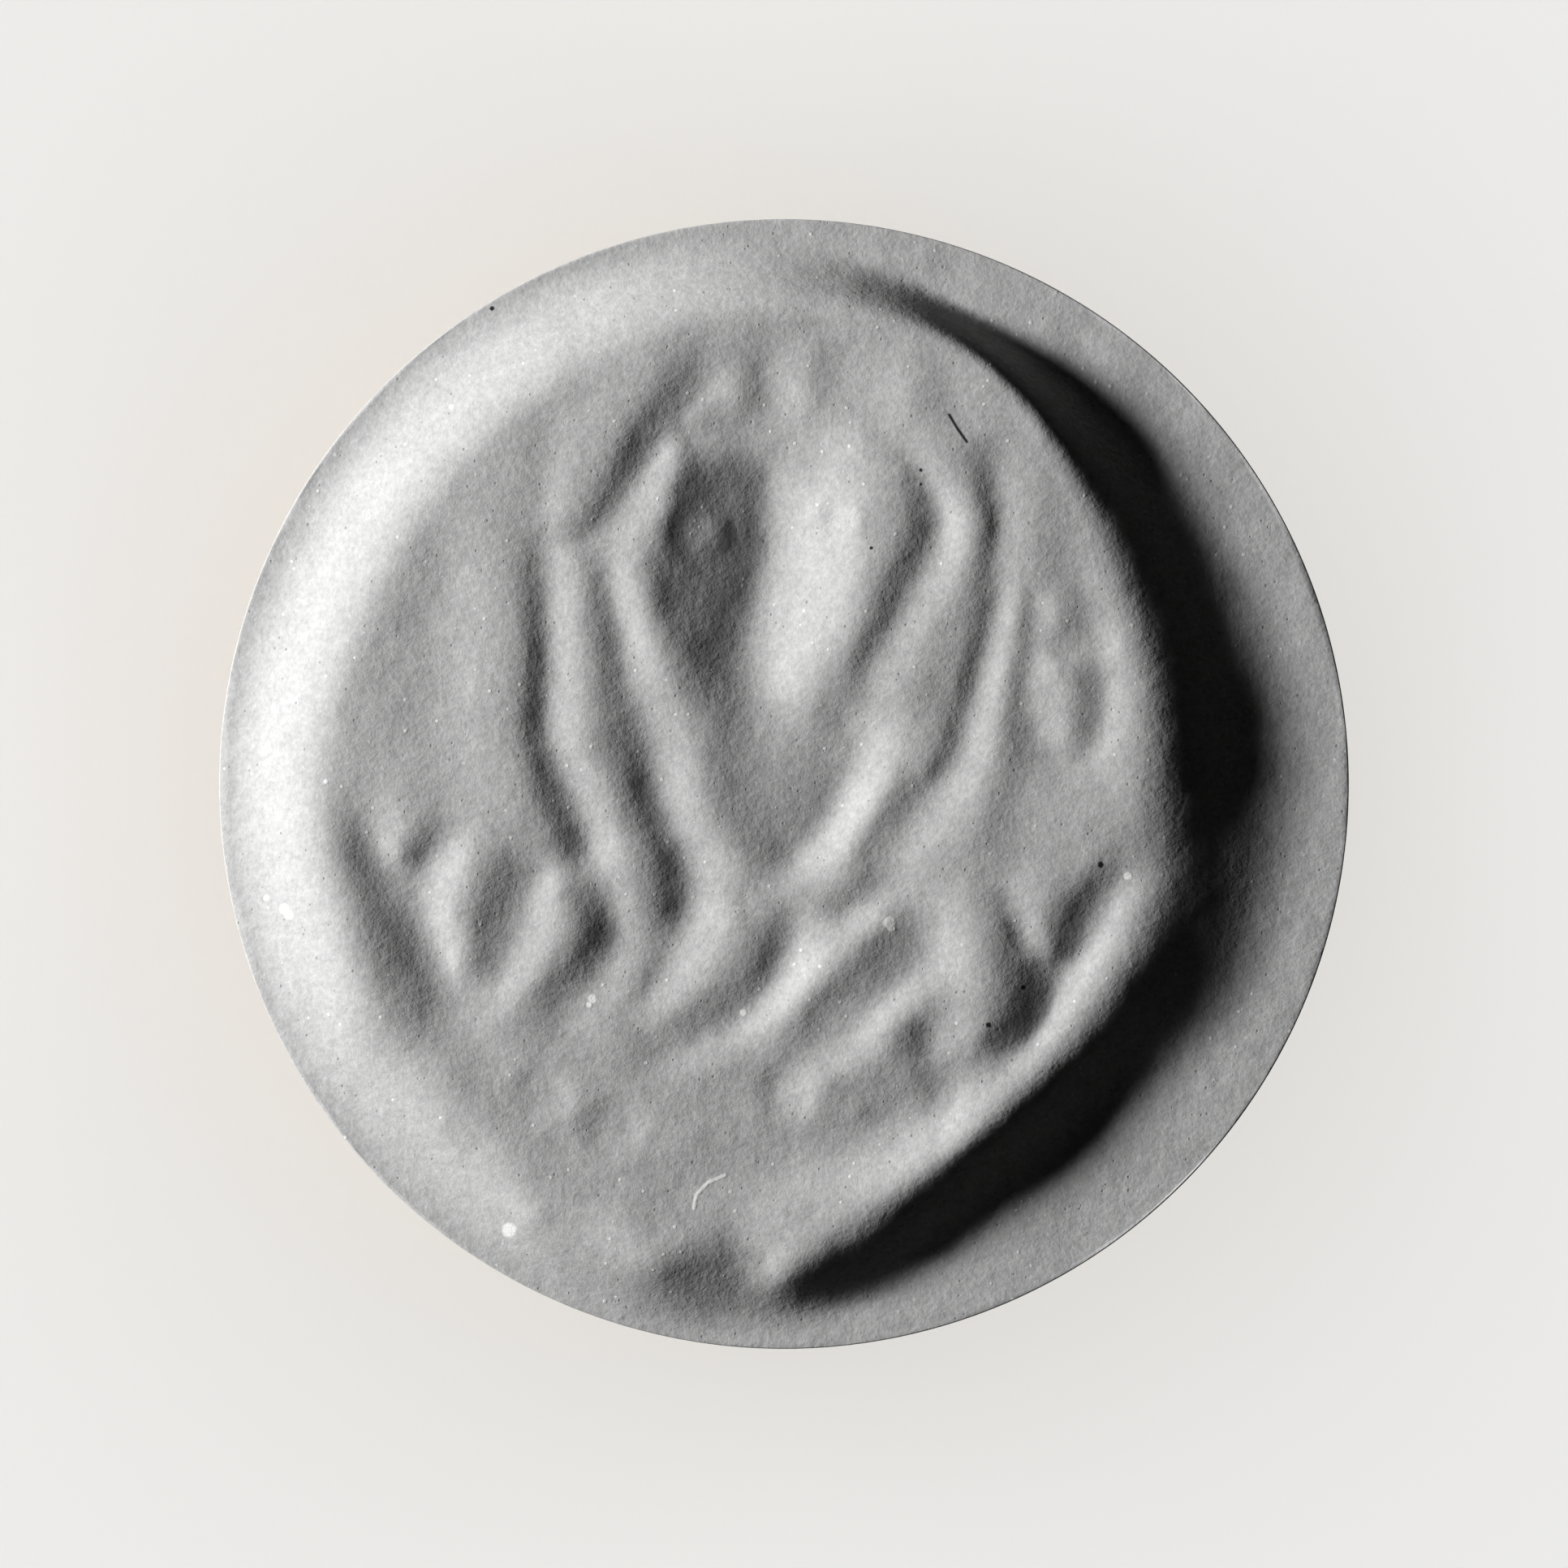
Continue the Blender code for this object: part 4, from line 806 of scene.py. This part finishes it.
def turned(name, outline, base, finish, sides=144, closed=False):
    # From an outline in millimetres, over a base height in metres
    metres = [(radius * mm, base + height * mm) for radius, height in outline]
    return finished(name, *spun(metres, sides, closed), finish)


def roundedCorner(radius, height, size, top, steps=5):
    # A quarter round at an outer corner, going up at a top corner and down from below at a bottom one
    turns = [math.pi / 2 * step / steps for step in range(steps + 1)]
    points = [(radius - size * (1 - math.cos(t)), height - size * (1 - math.sin(t))) for t in turns]
    return points if top else [(r, 2 * height - z) for r, z in reversed(points)]


def turnedCurve(start, end, steps):
    # A smooth curve between two outline points, which it leaves out
    shares = [step / steps for step in range(1, steps)]
    swell = [(1 - math.cos(math.pi * share)) / 2 for share in shares]
    return [
        (start[0] + (end[0] - start[0]) * eased, start[1] + (end[1] - start[1]) * share)
        for eased, share in zip(swell, shares)
    ]


def bead(radius, low, width, rise, steps=8):
    turns = [math.pi * step / steps for step in range(steps + 1)]
    return [(radius + rise * math.sin(t), low + width * (1 - math.cos(t)) / 2) for t in turns]


# Half of a cut line from its lip to its floor: how far along and how deep, in shares of its depth
fineLine = ((-1.6, 0), (-1.1, 0.08), (-0.5, 0.75), (0, 1))
sharpLine = ((-1.15, 0), (-0.95, 0.1), (-0.5, 0.52), (-0.12, 0.94), (0, 1))


def line(radius, middle, depth, half=fineLine):
    shares = [*half, *((-along, deep) for along, deep in half[-2::-1])]
    return [(radius - depth * deep, middle + depth * along) for along, deep in shares]


def drilled(piece, radius, start, end, height):
    # Cuts a round hole along X, all in metres
    verts, faces = spun([(0, start), (radius, start), (radius, end), (0, end)], sides=32)
    cutter = finished("cutter", [(z, y, height - x) for x, y, z in verts], faces, steel)
    modifier = piece.modifiers.new("hole", "BOOLEAN")
    modifier.operation = "DIFFERENCE"
    modifier.solver = "EXACT"
    modifier.object = cutter
    shape = evaluated(piece)
    piece.modifiers.clear()
    piece.data = smoothed(shape)
    bpy.data.objects.remove(cutter)


def drilledForPins(piece, radius, inner, outer):
    # One hole on each side for the ferrule's pins, in millimetres
    for side in (-1, 1):
        start, end = sorted((side * inner * mm, side * outer * mm))
        drilled(piece, radius * mm, start, end, axisOf("ferrule_pin_right"))


carvedFace = makeFace(stone)
print("carved face made:", len(carvedFace.data.polygons), "faces")


# Head: cup with a knurled rim, cement, stud and its lock pin
cup = {
    "height": 9.8,
    "bossHeight": 3.2,
    "bossRadius": 7.4,
    "rimHeight": 1.8,
    "edge": 0.3,
    "recessRadius": 8.1,
    "recessDepth": 3.45,
    "boreRadius": 3.6,
    "boreDepth": 5.25,
    "lip": 0.1,
    "lineDrop": 0.5,
    "lineDepth": 0.12,
    "neckInset": 0.5,
    "neckHeight": 0.35,
    "rimInset": 0.35,
    "rimEdge": 0.15,
    "knurlDepth": 0.14,
    "knurlCount": 132,
    "knurlWidth": 0.42,
    "knurlShort": 0.7,
    "knurlDrop": 0.05,
    "pinHole": 0.82,
}


def makeCup(finish):
    bottom = lowOf("head_cup")
    outer = radiusOf("head_cup") / mm
    rimLow = cup["height"] - cup["rimHeight"]
    knurled = outer - cup["knurlDepth"]
    bossTop = (cup["bossRadius"], cup["bossHeight"])
    neckTop = (outer - cup["neckInset"], rimLow - cup["neckHeight"])
    floor = cup["height"] - cup["recessDepth"]
    edge, lip = cup["edge"], cup["lip"]
    outline = [
        (0, cup["boreDepth"]), (cup["boreRadius"], cup["boreDepth"]), (cup["boreRadius"], 0),
        *roundedCorner(cup["bossRadius"], 0, edge, top=False),
        *line(cup["bossRadius"], cup["bossHeight"] - cup["lineDrop"], cup["lineDepth"]),
        *turnedCurve(bossTop, neckTop, 22),
        neckTop, (outer - cup["neckInset"], rimLow - 0.05), (outer - cup["rimInset"], rimLow),
        *roundedCorner(knurled, rimLow, cup["rimEdge"], top=False),
        *roundedCorner(knurled, cup["height"], edge, top=True),
        (cup["recessRadius"] + lip, cup["height"]), (cup["recessRadius"], cup["height"] - lip),
        (cup["recessRadius"], floor), (0, floor),
    ]
    made = turned("turned_cup", outline, bottom, finish)
    reach = (cup["bossRadius"] + 1) * mm
    drilled(made, cup["pinHole"] * mm, -reach, reach, axisOf("stud_lock_pin"))
    return declare(made, "head", "brass", "head_cup")


def nodeTree(name, inputs):
    # A Geometry Nodes tree with named number inputs and one mesh output, and the sockets of its inputs
    tree = bpy.data.node_groups.new(name, "GeometryNodeTree")
    for label in inputs:
        kind = "NodeSocketInt" if label == "Count" else "NodeSocketFloat"
        tree.interface.new_socket(label, in_out="INPUT", socket_type=kind)
    tree.interface.new_socket("Geometry", in_out="OUTPUT", socket_type="NodeSocketGeometry")
    return tree, tree.nodes.new("NodeGroupInput").outputs


def added(tree, kind, settings=None, **inputs):
    made = tree.nodes.new(kind)
    for key, value in (settings or {}).items():
        setattr(made, key, value)
    for key, value in inputs.items():
        socket = made.inputs[key.replace("_", " ")]
        if isinstance(value, bpy.types.NodeSocket):
            tree.links.new(value, socket)
        else:
            socket.default_value = value
    return made


def lifted(tree, geometry, height):
    lift = added(tree, "ShaderNodeCombineXYZ", Z=height)
    return added(tree, "GeometryNodeSetPosition", Geometry=geometry, Offset=lift.outputs[0])


def closedTree(tree, geometry, finish):
    real = added(tree, "GeometryNodeRealizeInstances", Geometry=geometry)
    coated = added(tree, "GeometryNodeSetMaterial", Geometry=real.outputs[0], Material=finish.material)
    output = tree.nodes.new("NodeGroupOutput")
    tree.links.new(coated.outputs[0], output.inputs[0])


def treeMesh(name, tree, values, finish):
    # Runs a tree once on an empty mesh and keeps the result as a plain mesh
    carrier = bpy.data.objects.new("carrier", bpy.data.meshes.new("carrier"))
    bpy.context.scene.collection.objects.link(carrier)
    modifier = carrier.modifiers.new("tree", "NODES")
    modifier.node_group = tree
    for item in tree.interface.items_tree:
        if item.in_out == "INPUT":
            modifier[item.identifier] = values[item.name]
    mesh = evaluated(carrier)
    carrier.modifiers.clear()
    bpy.data.objects.remove(carrier)
    mesh.name = name
    return placed(name, mesh, finish, mergeWithin=0.0001 * mm)


def makeKnurl(finish):
    tree, given = nodeTree("rim_ribs", ("Count", "Radius", "Width", "Height", "Middle"))
    circle = added(tree, "GeometryNodeMeshCircle", Vertices=given["Count"], Radius=given["Radius"])
    points = lifted(tree, circle.outputs[0], given["Middle"])
    rib = added(
        tree, "GeometryNodeMeshCylinder", Vertices=8, Side_Segments=1,
        Radius=given["Width"], Depth=given["Height"],
    )
    ribs = added(tree, "GeometryNodeInstanceOnPoints", Points=points.outputs[0], Instance=rib.outputs[0])
    closedTree(tree, ribs.outputs[0], finish)
    halfWidth = cup["knurlWidth"] / 2
    rimLow = lowOf("head_cup") + (cup["height"] - cup["rimHeight"]) * mm
    rimHigh = lowOf("head_cup") + cup["height"] * mm
    values = {
        "Count": cup["knurlCount"],
        "Radius": radiusOf("head_cup") - halfWidth * mm,
        "Width": halfWidth * mm,
        "Height": rimHigh - rimLow - cup["knurlShort"] * mm,
        "Middle": (rimLow + rimHigh) / 2 - cup["knurlDrop"] * mm,
    }
    return declare(treeMesh("rim_knurl", tree, values, finish), "head", "brass")


makeCup(brass)
makeKnurl(brass)

stud = {
    "pitch": 1.5,
    "rootRadius": 3.1,
    "crestRadius": 4.0,
    "rootWidth": 0.95,
    "crestWidth": 0.45,
    "spigotRadius": 3.4,
    "tip": 0.6,
    "topEdge": 0.3,
    "buried": 0.2,
    "neck": 0.6,
    "turnSteps": 48,
}


def makeStud(finish):
    low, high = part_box("threaded_stud")
    seat = lowOf("seat_washer")
    root, spigot = stud["rootRadius"] * mm, stud["spigotRadius"] * mm
    tip, edge = stud["tip"] * mm, stud["topEdge"] * mm
    outline = [
        (0, low.z), (root - tip, low.z), (root, low.z + tip), (root, seat),
        (spigot, seat + stud["neck"] * mm), (spigot, high.z - edge), (spigot - edge, high.z), (0, high.z),
    ]
    rod = finished("stud_rod", *spun(outline, sides=96), finish)
    drilled(rod, cup["pinHole"] * mm, -2 * spigot, 2 * spigot, axisOf("stud_lock_pin"))
    declare(rod, "head", "steel", "threaded_stud")
    # The thread is a trapezium led up a spiral, a little sunk into the rod
    tree, given = nodeTree("stud_thread", ("Turns", "Radius", "Length", "Bottom", "Root", "Crest", "Depth"))
    spiral = added(
        tree, "GeometryNodeCurveSpiral", Resolution=stud["turnSteps"], Rotations=given["Turns"],
        Start_Radius=given["Radius"], End_Radius=given["Radius"], Height=given["Length"],
    )
    path = lifted(tree, spiral.outputs[0], given["Bottom"])
    upright = added(tree, "GeometryNodeSetCurveNormal", {"mode": "Z_UP"}, Curve=path.outputs[0])
    section = added(
        tree, "GeometryNodeCurvePrimitiveQuadrilateral", {"mode": "TRAPEZOID"}, Height=given["Depth"],
        Bottom_Width=given["Root"], Top_Width=given["Crest"], Offset=0.0,
    )
    outwards = (0.0, 0.0, -math.pi / 2)
    section = added(tree, "GeometryNodeTransform", Geometry=section.outputs[0], Rotation=outwards)
    ridge = added(
        tree, "GeometryNodeCurveToMesh", Curve=upright.outputs[0],
        Profile_Curve=section.outputs[0], Fill_Caps=True,
    )
    closedTree(tree, ridge.outputs[0], finish)
    start = low.z + tip + stud["rootWidth"] / 2 * mm
    end = seat - stud["rootWidth"] / 2 * mm
    depth = stud["crestRadius"] - stud["rootRadius"] + stud["buried"]
    values = {
        "Turns": (end - start) / (stud["pitch"] * mm),
        "Radius": (stud["crestRadius"] - depth / 2) * mm,
        "Length": end - start,
        "Bottom": start,
        "Root": stud["rootWidth"] * mm,
        "Crest": stud["crestWidth"] * mm,
        "Depth": depth * mm,
    }
    return declare(treeMesh("stud_thread", tree, values, finish), "head", "steel")


def refinish(node, finish):
    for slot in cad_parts[node].material_slots:
        slot.material = finish.material


makeStud(steel)
refinish("cement_bed", shellac)
refinish("stud_lock_pin", steel)
print("head made")


# Washer between the head and the ferrule
washer = {
    "edge": 0.12,
    "innerRadius": 4.4,
}


def makeWasher(finish):
    low, high = lowOf("seat_washer"), highOf("seat_washer")
    outer = radiusOf("seat_washer") / mm
    thickness = (high - low) / mm
    inner, edge = washer["innerRadius"], washer["edge"]
    outline = [
        (inner, edge), (inner + edge, 0), *roundedCorner(outer, 0, edge, top=False, steps=4),
        *roundedCorner(outer, thickness, edge, top=True, steps=4),
        (inner + edge, thickness), (inner, thickness - edge),
    ]
    made = turned("fibre_washer", outline, low, finish, sides=128, closed=True)
    return declare(made, "washer", "washer_fibre", "seat_washer")


# Ferrule and its two pins
ferrule = {
    "innerRadius": 7.2,
    "lipRadius": 4.4,
    "lip": 0.8,
    "beadWidth": 1.2,
    "beadRise": 0.4,
    "beadLow": 0.08,
    "topBeadSetback": 1.25,
    "lineDepth": 0.09,
    "lineOverBead": 0.62,
    "lineUnderBead": 0.42,
    "bevel": 0.1,
    "edge": 0.4,
    "pinHole": 0.62,
    "pinDome": 0.14,
}


def makeFerrule(finish):
    low, high = lowOf("ferrule"), highOf("ferrule")
    height = (high - low) / mm
    outer = radiusOf("ferrule") / mm - ferrule["beadRise"]
    width, rise = ferrule["beadWidth"], ferrule["beadRise"]
    upper = height - ferrule["topBeadSetback"] - width
    inner, lip = ferrule["innerRadius"], ferrule["lipRadius"]
    seat, bevel, deep = height - ferrule["lip"], ferrule["bevel"], ferrule["lineDepth"]
    outline = [
        (inner, bevel), (inner + bevel, 0), (outer, 0), *bead(outer, ferrule["beadLow"], width, rise),
        *line(outer, width + ferrule["lineOverBead"], deep),
        *line(outer, upper - ferrule["lineUnderBead"], deep),
        *bead(outer, upper, width, rise), *roundedCorner(outer, height, ferrule["edge"], top=True),
        (lip + bevel, height), (lip, height - bevel), (lip, seat), (inner, seat),
    ]
    made = turned("turned_ferrule", outline, low, finish, closed=True)
    drilledForPins(made, ferrule["pinHole"], inner - 0.5, outer + 1)
    return declare(made, "handle", "brass", "ferrule")


def makeFerrulePin(side, sign, finish):
    # A driven pin with a low filed dome
    node = f"ferrule_pin_{side}"
    low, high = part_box(node)
    radius = (high.z - low.z) / 2
    inner, outer = sorted((abs(low.x), abs(high.x)))
    dome = ferrule["pinDome"] * mm
    outline = [(0, inner), (radius, inner)]
    outline += [
        (radius * math.cos(turn), outer + dome * math.sin(turn))
        for turn in np.linspace(0, math.pi / 2, 6)[:-1]
    ]
    outline.append((0, outer + dome))
    verts, faces = spun(outline, sides=32)
    verts = [(sign * z, y, (low.z + high.z) / 2 + x) for x, y, z in verts]
    made = finished(f"domed_pin_{side}", verts, faces, finish)
    return declare(made, "handle", "brass", node)


# Handle, turned from one length of dark walnut
handle = {
    "bodyHeight": 42.5,
    "footSetback": 0.8,
    "palmHeight": 8.5,
    "waistRadius": 6.4,
    "waistHeight": 31.0,
    "collarHeight": 1.6,
    "collarRadius": 8.2,
    "lineDepth": 0.4,
    "lineSpacing": 1.3,
    "tenonRadius": 7.0,
    "tenonHeight": 8.0,
    "tenonEdge": 0.2,
    "insertBore": 5.2,
    "insertGap": 0.25,
    "capBore": 5.2,
    "capBoreHeight": 1.8,
    "pilotRadius": 2.0,
    "pilotTop": 12.30,
    "edge": 0.25,
    "collarEdge": 0.15,
    "pinHole": 0.62,
    "pinDepth": 1.02,
}


def makeHandle(finish):
    bottom = lowOf("handle")
    palm = radiusOf("handle") / mm
    foot, waist = palm - handle["footSetback"], handle["waistRadius"]
    full = handle["bodyHeight"] + handle["tenonHeight"]
    collar, collarLow = handle["collarRadius"], handle["bodyHeight"] - handle["collarHeight"]
    tenon, tenonEdge = handle["tenonRadius"], handle["tenonEdge"]
    deep, edge, collarEdge = handle["lineDepth"], handle["edge"], handle["collarEdge"]
    floor = lowOf("threaded_insert") / mm - handle["insertGap"] - bottom / mm
    lines = []
    for index in range(2):
        middle = handle["palmHeight"] + handle["lineSpacing"] * index + deep
        lines += line(palm, middle, deep, sharpLine)
    outline = [
        (0, handle["pilotTop"]), (handle["pilotRadius"], handle["pilotTop"]),
        (handle["pilotRadius"], handle["capBoreHeight"]), (handle["capBore"], handle["capBoreHeight"]),
        (handle["capBore"], 0), *roundedCorner(foot, 0, edge, top=False),
        *turnedCurve((foot, edge), lines[0], 16), *lines,
        *turnedCurve(lines[-1], (waist, handle["waistHeight"]), 36), (waist, handle["waistHeight"]),
        *turnedCurve((waist, handle["waistHeight"]), (collar, collarLow), 18),
        *roundedCorner(collar, collarLow, collarEdge, top=False),
        *roundedCorner(collar, handle["bodyHeight"], collarEdge, top=True),
        (tenon, handle["bodyHeight"]), (tenon, full - tenonEdge), (tenon - tenonEdge, full),
        (handle["insertBore"], full), (handle["insertBore"], floor), (0, floor),
    ]
    made = turned("turned_handle", outline, bottom, finish, sides=160)
    drilledForPins(made, handle["pinHole"], tenon - handle["pinDepth"], collar + 1)
    return declare(made, "handle", "handle_wood", "handle")


# End cap under the handle, and the cork pad in it
endCap = {
    "rimTop": 4.85,
    "edge": 0.7,
    "lip": 0.15,
    "lineDepth": 0.16,
    "holeRadius": 2.0,
    "sinkRadius": 3.6,
    "sinkLow": 2.65,
    "sinkHigh": 4.25,
    "padSeat": 1.85,
    "spigotRadius": 5.0,
    "spigotTop": 6.65,
    "padGap": 0.2,
    "padEdge": 0.3,
}


def makeEndCap(finish):
    low = lowOf("end_cap") / mm
    top = highOf("end_cap") / mm - (endCap["spigotTop"] - endCap["rimTop"])
    outer, edge, lip = radiusOf("end_cap") / mm, endCap["edge"], endCap["lip"]
    padRadius = radiusOf("foot_pad") / mm + endCap["padGap"]
    outline = [
        (padRadius, low + lip), (padRadius + lip, low),
        *roundedCorner(outer, low, edge, top=False, steps=8),
        *line(outer, (low + top) / 2, endCap["lineDepth"]),
        *roundedCorner(outer, top, edge, top=True, steps=8),
        (endCap["spigotRadius"], top), (endCap["spigotRadius"], endCap["spigotTop"]),
        (endCap["holeRadius"], endCap["spigotTop"]), (endCap["holeRadius"], endCap["sinkHigh"]),
        (endCap["sinkRadius"], endCap["sinkLow"]), (endCap["sinkRadius"], endCap["padSeat"]),
        (padRadius, endCap["padSeat"]),
    ]
    made = turned("turned_end_cap", outline, 0.0, finish, closed=True)
    return declare(made, "handle", "brass", "end_cap")


def makePad(finish):
    radius, top, edge = radiusOf("foot_pad") / mm, highOf("foot_pad") / mm, endCap["padEdge"]
    outline = [
        (0, 0), *roundedCorner(radius, 0, edge, top=False), *roundedCorner(radius, top, edge * 0.5, top=True),
        (0, top),
    ]
    made = turned("cork_pad", outline, 0.0, finish, sides=96)
    return declare(made, "handle", "cork", "foot_pad")


makeWasher(fibre)
makeFerrule(brass)
makeFerrulePin("right", 1, brass)
makeFerrulePin("left", -1, brass)
makeHandle(wood)
makeEndCap(brass)
makePad(cork)
refinish("threaded_insert", brass)
refinish("end_cap_screw", steel)
print("handle made")


# Floor, lamps and camera
studio = {
    "floorTone": (0.86, 0.86, 0.85),
    "floorUnseen": (0.02, 0.02, 0.02),
    "floorRadius": 3.0,
    "keyTurn": 167,
    "keyRise": 19.5,
    "keyAway": 0.21,
    "keySize": 0.034,
    "keyPower": 0.83,
    "fillTurns": (20, 110, 200, 290),
    "fillAway": 0.5,
    "fillWidth": 0.5,
    "fillHeight": 0.25,
    "fillMiddle": 0.14,
    "fillAim": 0.034,
    "fillPower": 0.62,
    "rimTurns": (287, 347, 47),
    "rimAway": 0.055,
    "rimHeight": 0.004,
    "rimSize": 0.03,
    "rimPower": 0.024,
    "floorLampHeight": 3.0,
    "floorLampSize": 4.0,
    "floorLampPower": 150.0,
    "worldShown": 0.9,
    "worldLight": 0.002,
    "cameraAway": 0.35,
    "sensorWidth": 36,
    "frameWidth": 33.31,
}


def lamp(name, place, target, width, height, power, receivers):
    light = bpy.data.lights.new(name, "AREA")
    light.shape = "RECTANGLE"
    light.size, light.size_y = width, height
    light.energy = power
    made = bpy.data.objects.new(name, light)
    made.location = place
    made.rotation_mode = "QUATERNION"
    made.rotation_quaternion = (Vector(target) - Vector(place)).to_track_quat("-Z", "Y")
    made.visible_camera = False
    made.light_linking.receiver_collection = receivers
    bpy.context.scene.collection.objects.link(made)
    return made


def around(turn, radius, height):
    angle = math.radians(turn)
    return Vector((radius * math.cos(angle), radius * math.sin(angle), height))


def lightGroup(name, members):
    group = bpy.data.collections.new(name)
    for member in members:
        group.objects.link(member)
    return group


def makeFloor():
    plain = Finish("pale_floor", studio["floorTone"], 0.9, Specular_IOR_Level=0.0)
    bounced = plain.node("ShaderNodeLightPath", output="Is Diffuse Ray")
    plain.set("Base Color", plain.mix(bounced, studio["floorTone"], studio["floorUnseen"]))
    verts, faces = spun([(0, 0), (studio["floorRadius"], 0)], sides=64)
    floor = finished("floor", verts, faces, plain)
    if floor.data.polygons[0].normal.z < 0:
        floor.data.flip_normals()
    floor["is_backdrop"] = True
    return floor


def makeWorld():
    world = bpy.data.worlds.new("studio_world")
    world.use_nodes = True
    tree = world.node_tree
    background = tree.nodes["Background"]
    background.inputs["Color"].default_value = (1.0, 1.0, 1.0, 1.0)
    path = tree.nodes.new("ShaderNodeLightPath")
    shown = None
    for name in ("Is Camera Ray", "Is Glossy Ray", "Is Transmission Ray"):
        if shown is None:
            shown = path.outputs[name]
            continue
        either = tree.nodes.new("ShaderNodeMath")
        either.operation = "MAXIMUM"
        tree.links.new(shown, either.inputs[0])
        tree.links.new(path.outputs[name], either.inputs[1])
        shown = either.outputs[0]
    strength = tree.nodes.new("ShaderNodeMapRange")
    strength.inputs["To Min"].default_value = studio["worldLight"]
    strength.inputs["To Max"].default_value = studio["worldShown"]
    tree.links.new(shown, strength.inputs["Value"])
    tree.links.new(strength.outputs[0], background.inputs["Strength"])
    bpy.context.scene.world = world


def makeCamera():
    lens = bpy.data.cameras.new("camera")
    lens.sensor_width = studio["sensorWidth"]
    lens.lens = lens.sensor_width * studio["cameraAway"] / (studio["frameWidth"] * mm)
    camera = bpy.data.objects.new("camera", lens)
    camera.location = (0, 0, ringHeight + studio["cameraAway"])
    lens.clip_start, lens.clip_end = 0.01, 20
    bpy.context.scene.collection.objects.link(camera)
    bpy.context.scene.camera = camera


floor = makeFloor()
shown = [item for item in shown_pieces() if item is not floor]
everyPiece = lightGroup("lit_by_key", shown)
behindFace = lightGroup("lit_by_fills", [item for item in shown if item is not carvedFace])
onlyFace = lightGroup("lit_by_rim_lamps", [carvedFace])
onlyFloor = lightGroup("lit_from_above", [floor])
ringHeight = lowOf("seal_matrix") + (face["spigotHeight"] + face["flange"]) * mm
middle = Vector((0, 0, ringHeight))
rise, away = math.radians(studio["keyRise"]), studio["keyAway"]
place = around(studio["keyTurn"], away * math.cos(rise), ringHeight + away * math.sin(rise))
size = studio["keySize"]
lamp("key", place, middle, size, size, studio["keyPower"], everyPiece)
target, width, height = (0, 0, studio["fillAim"]), studio["fillWidth"], studio["fillHeight"]
for turn in studio["fillTurns"]:
    place = around(turn, studio["fillAway"], studio["fillMiddle"])
    lamp(f"fill_{turn}", place, target, width, height, studio["fillPower"], behindFace)
size = studio["rimSize"]
for turn in studio["rimTurns"]:
    place = around(turn, studio["rimAway"], studio["rimHeight"])
    lamp(f"rim_{turn}", place, middle, size, size / 4, studio["rimPower"], onlyFace)
place, size = (0, 0, studio["floorLampHeight"]), studio["floorLampSize"]
lamp("floor_lamp", place, (0, 0, 0), size, size, studio["floorLampPower"], onlyFloor)
makeWorld()
makeCamera()
bpy.context.scene.view_settings.view_transform = "Standard"
print("studio made")
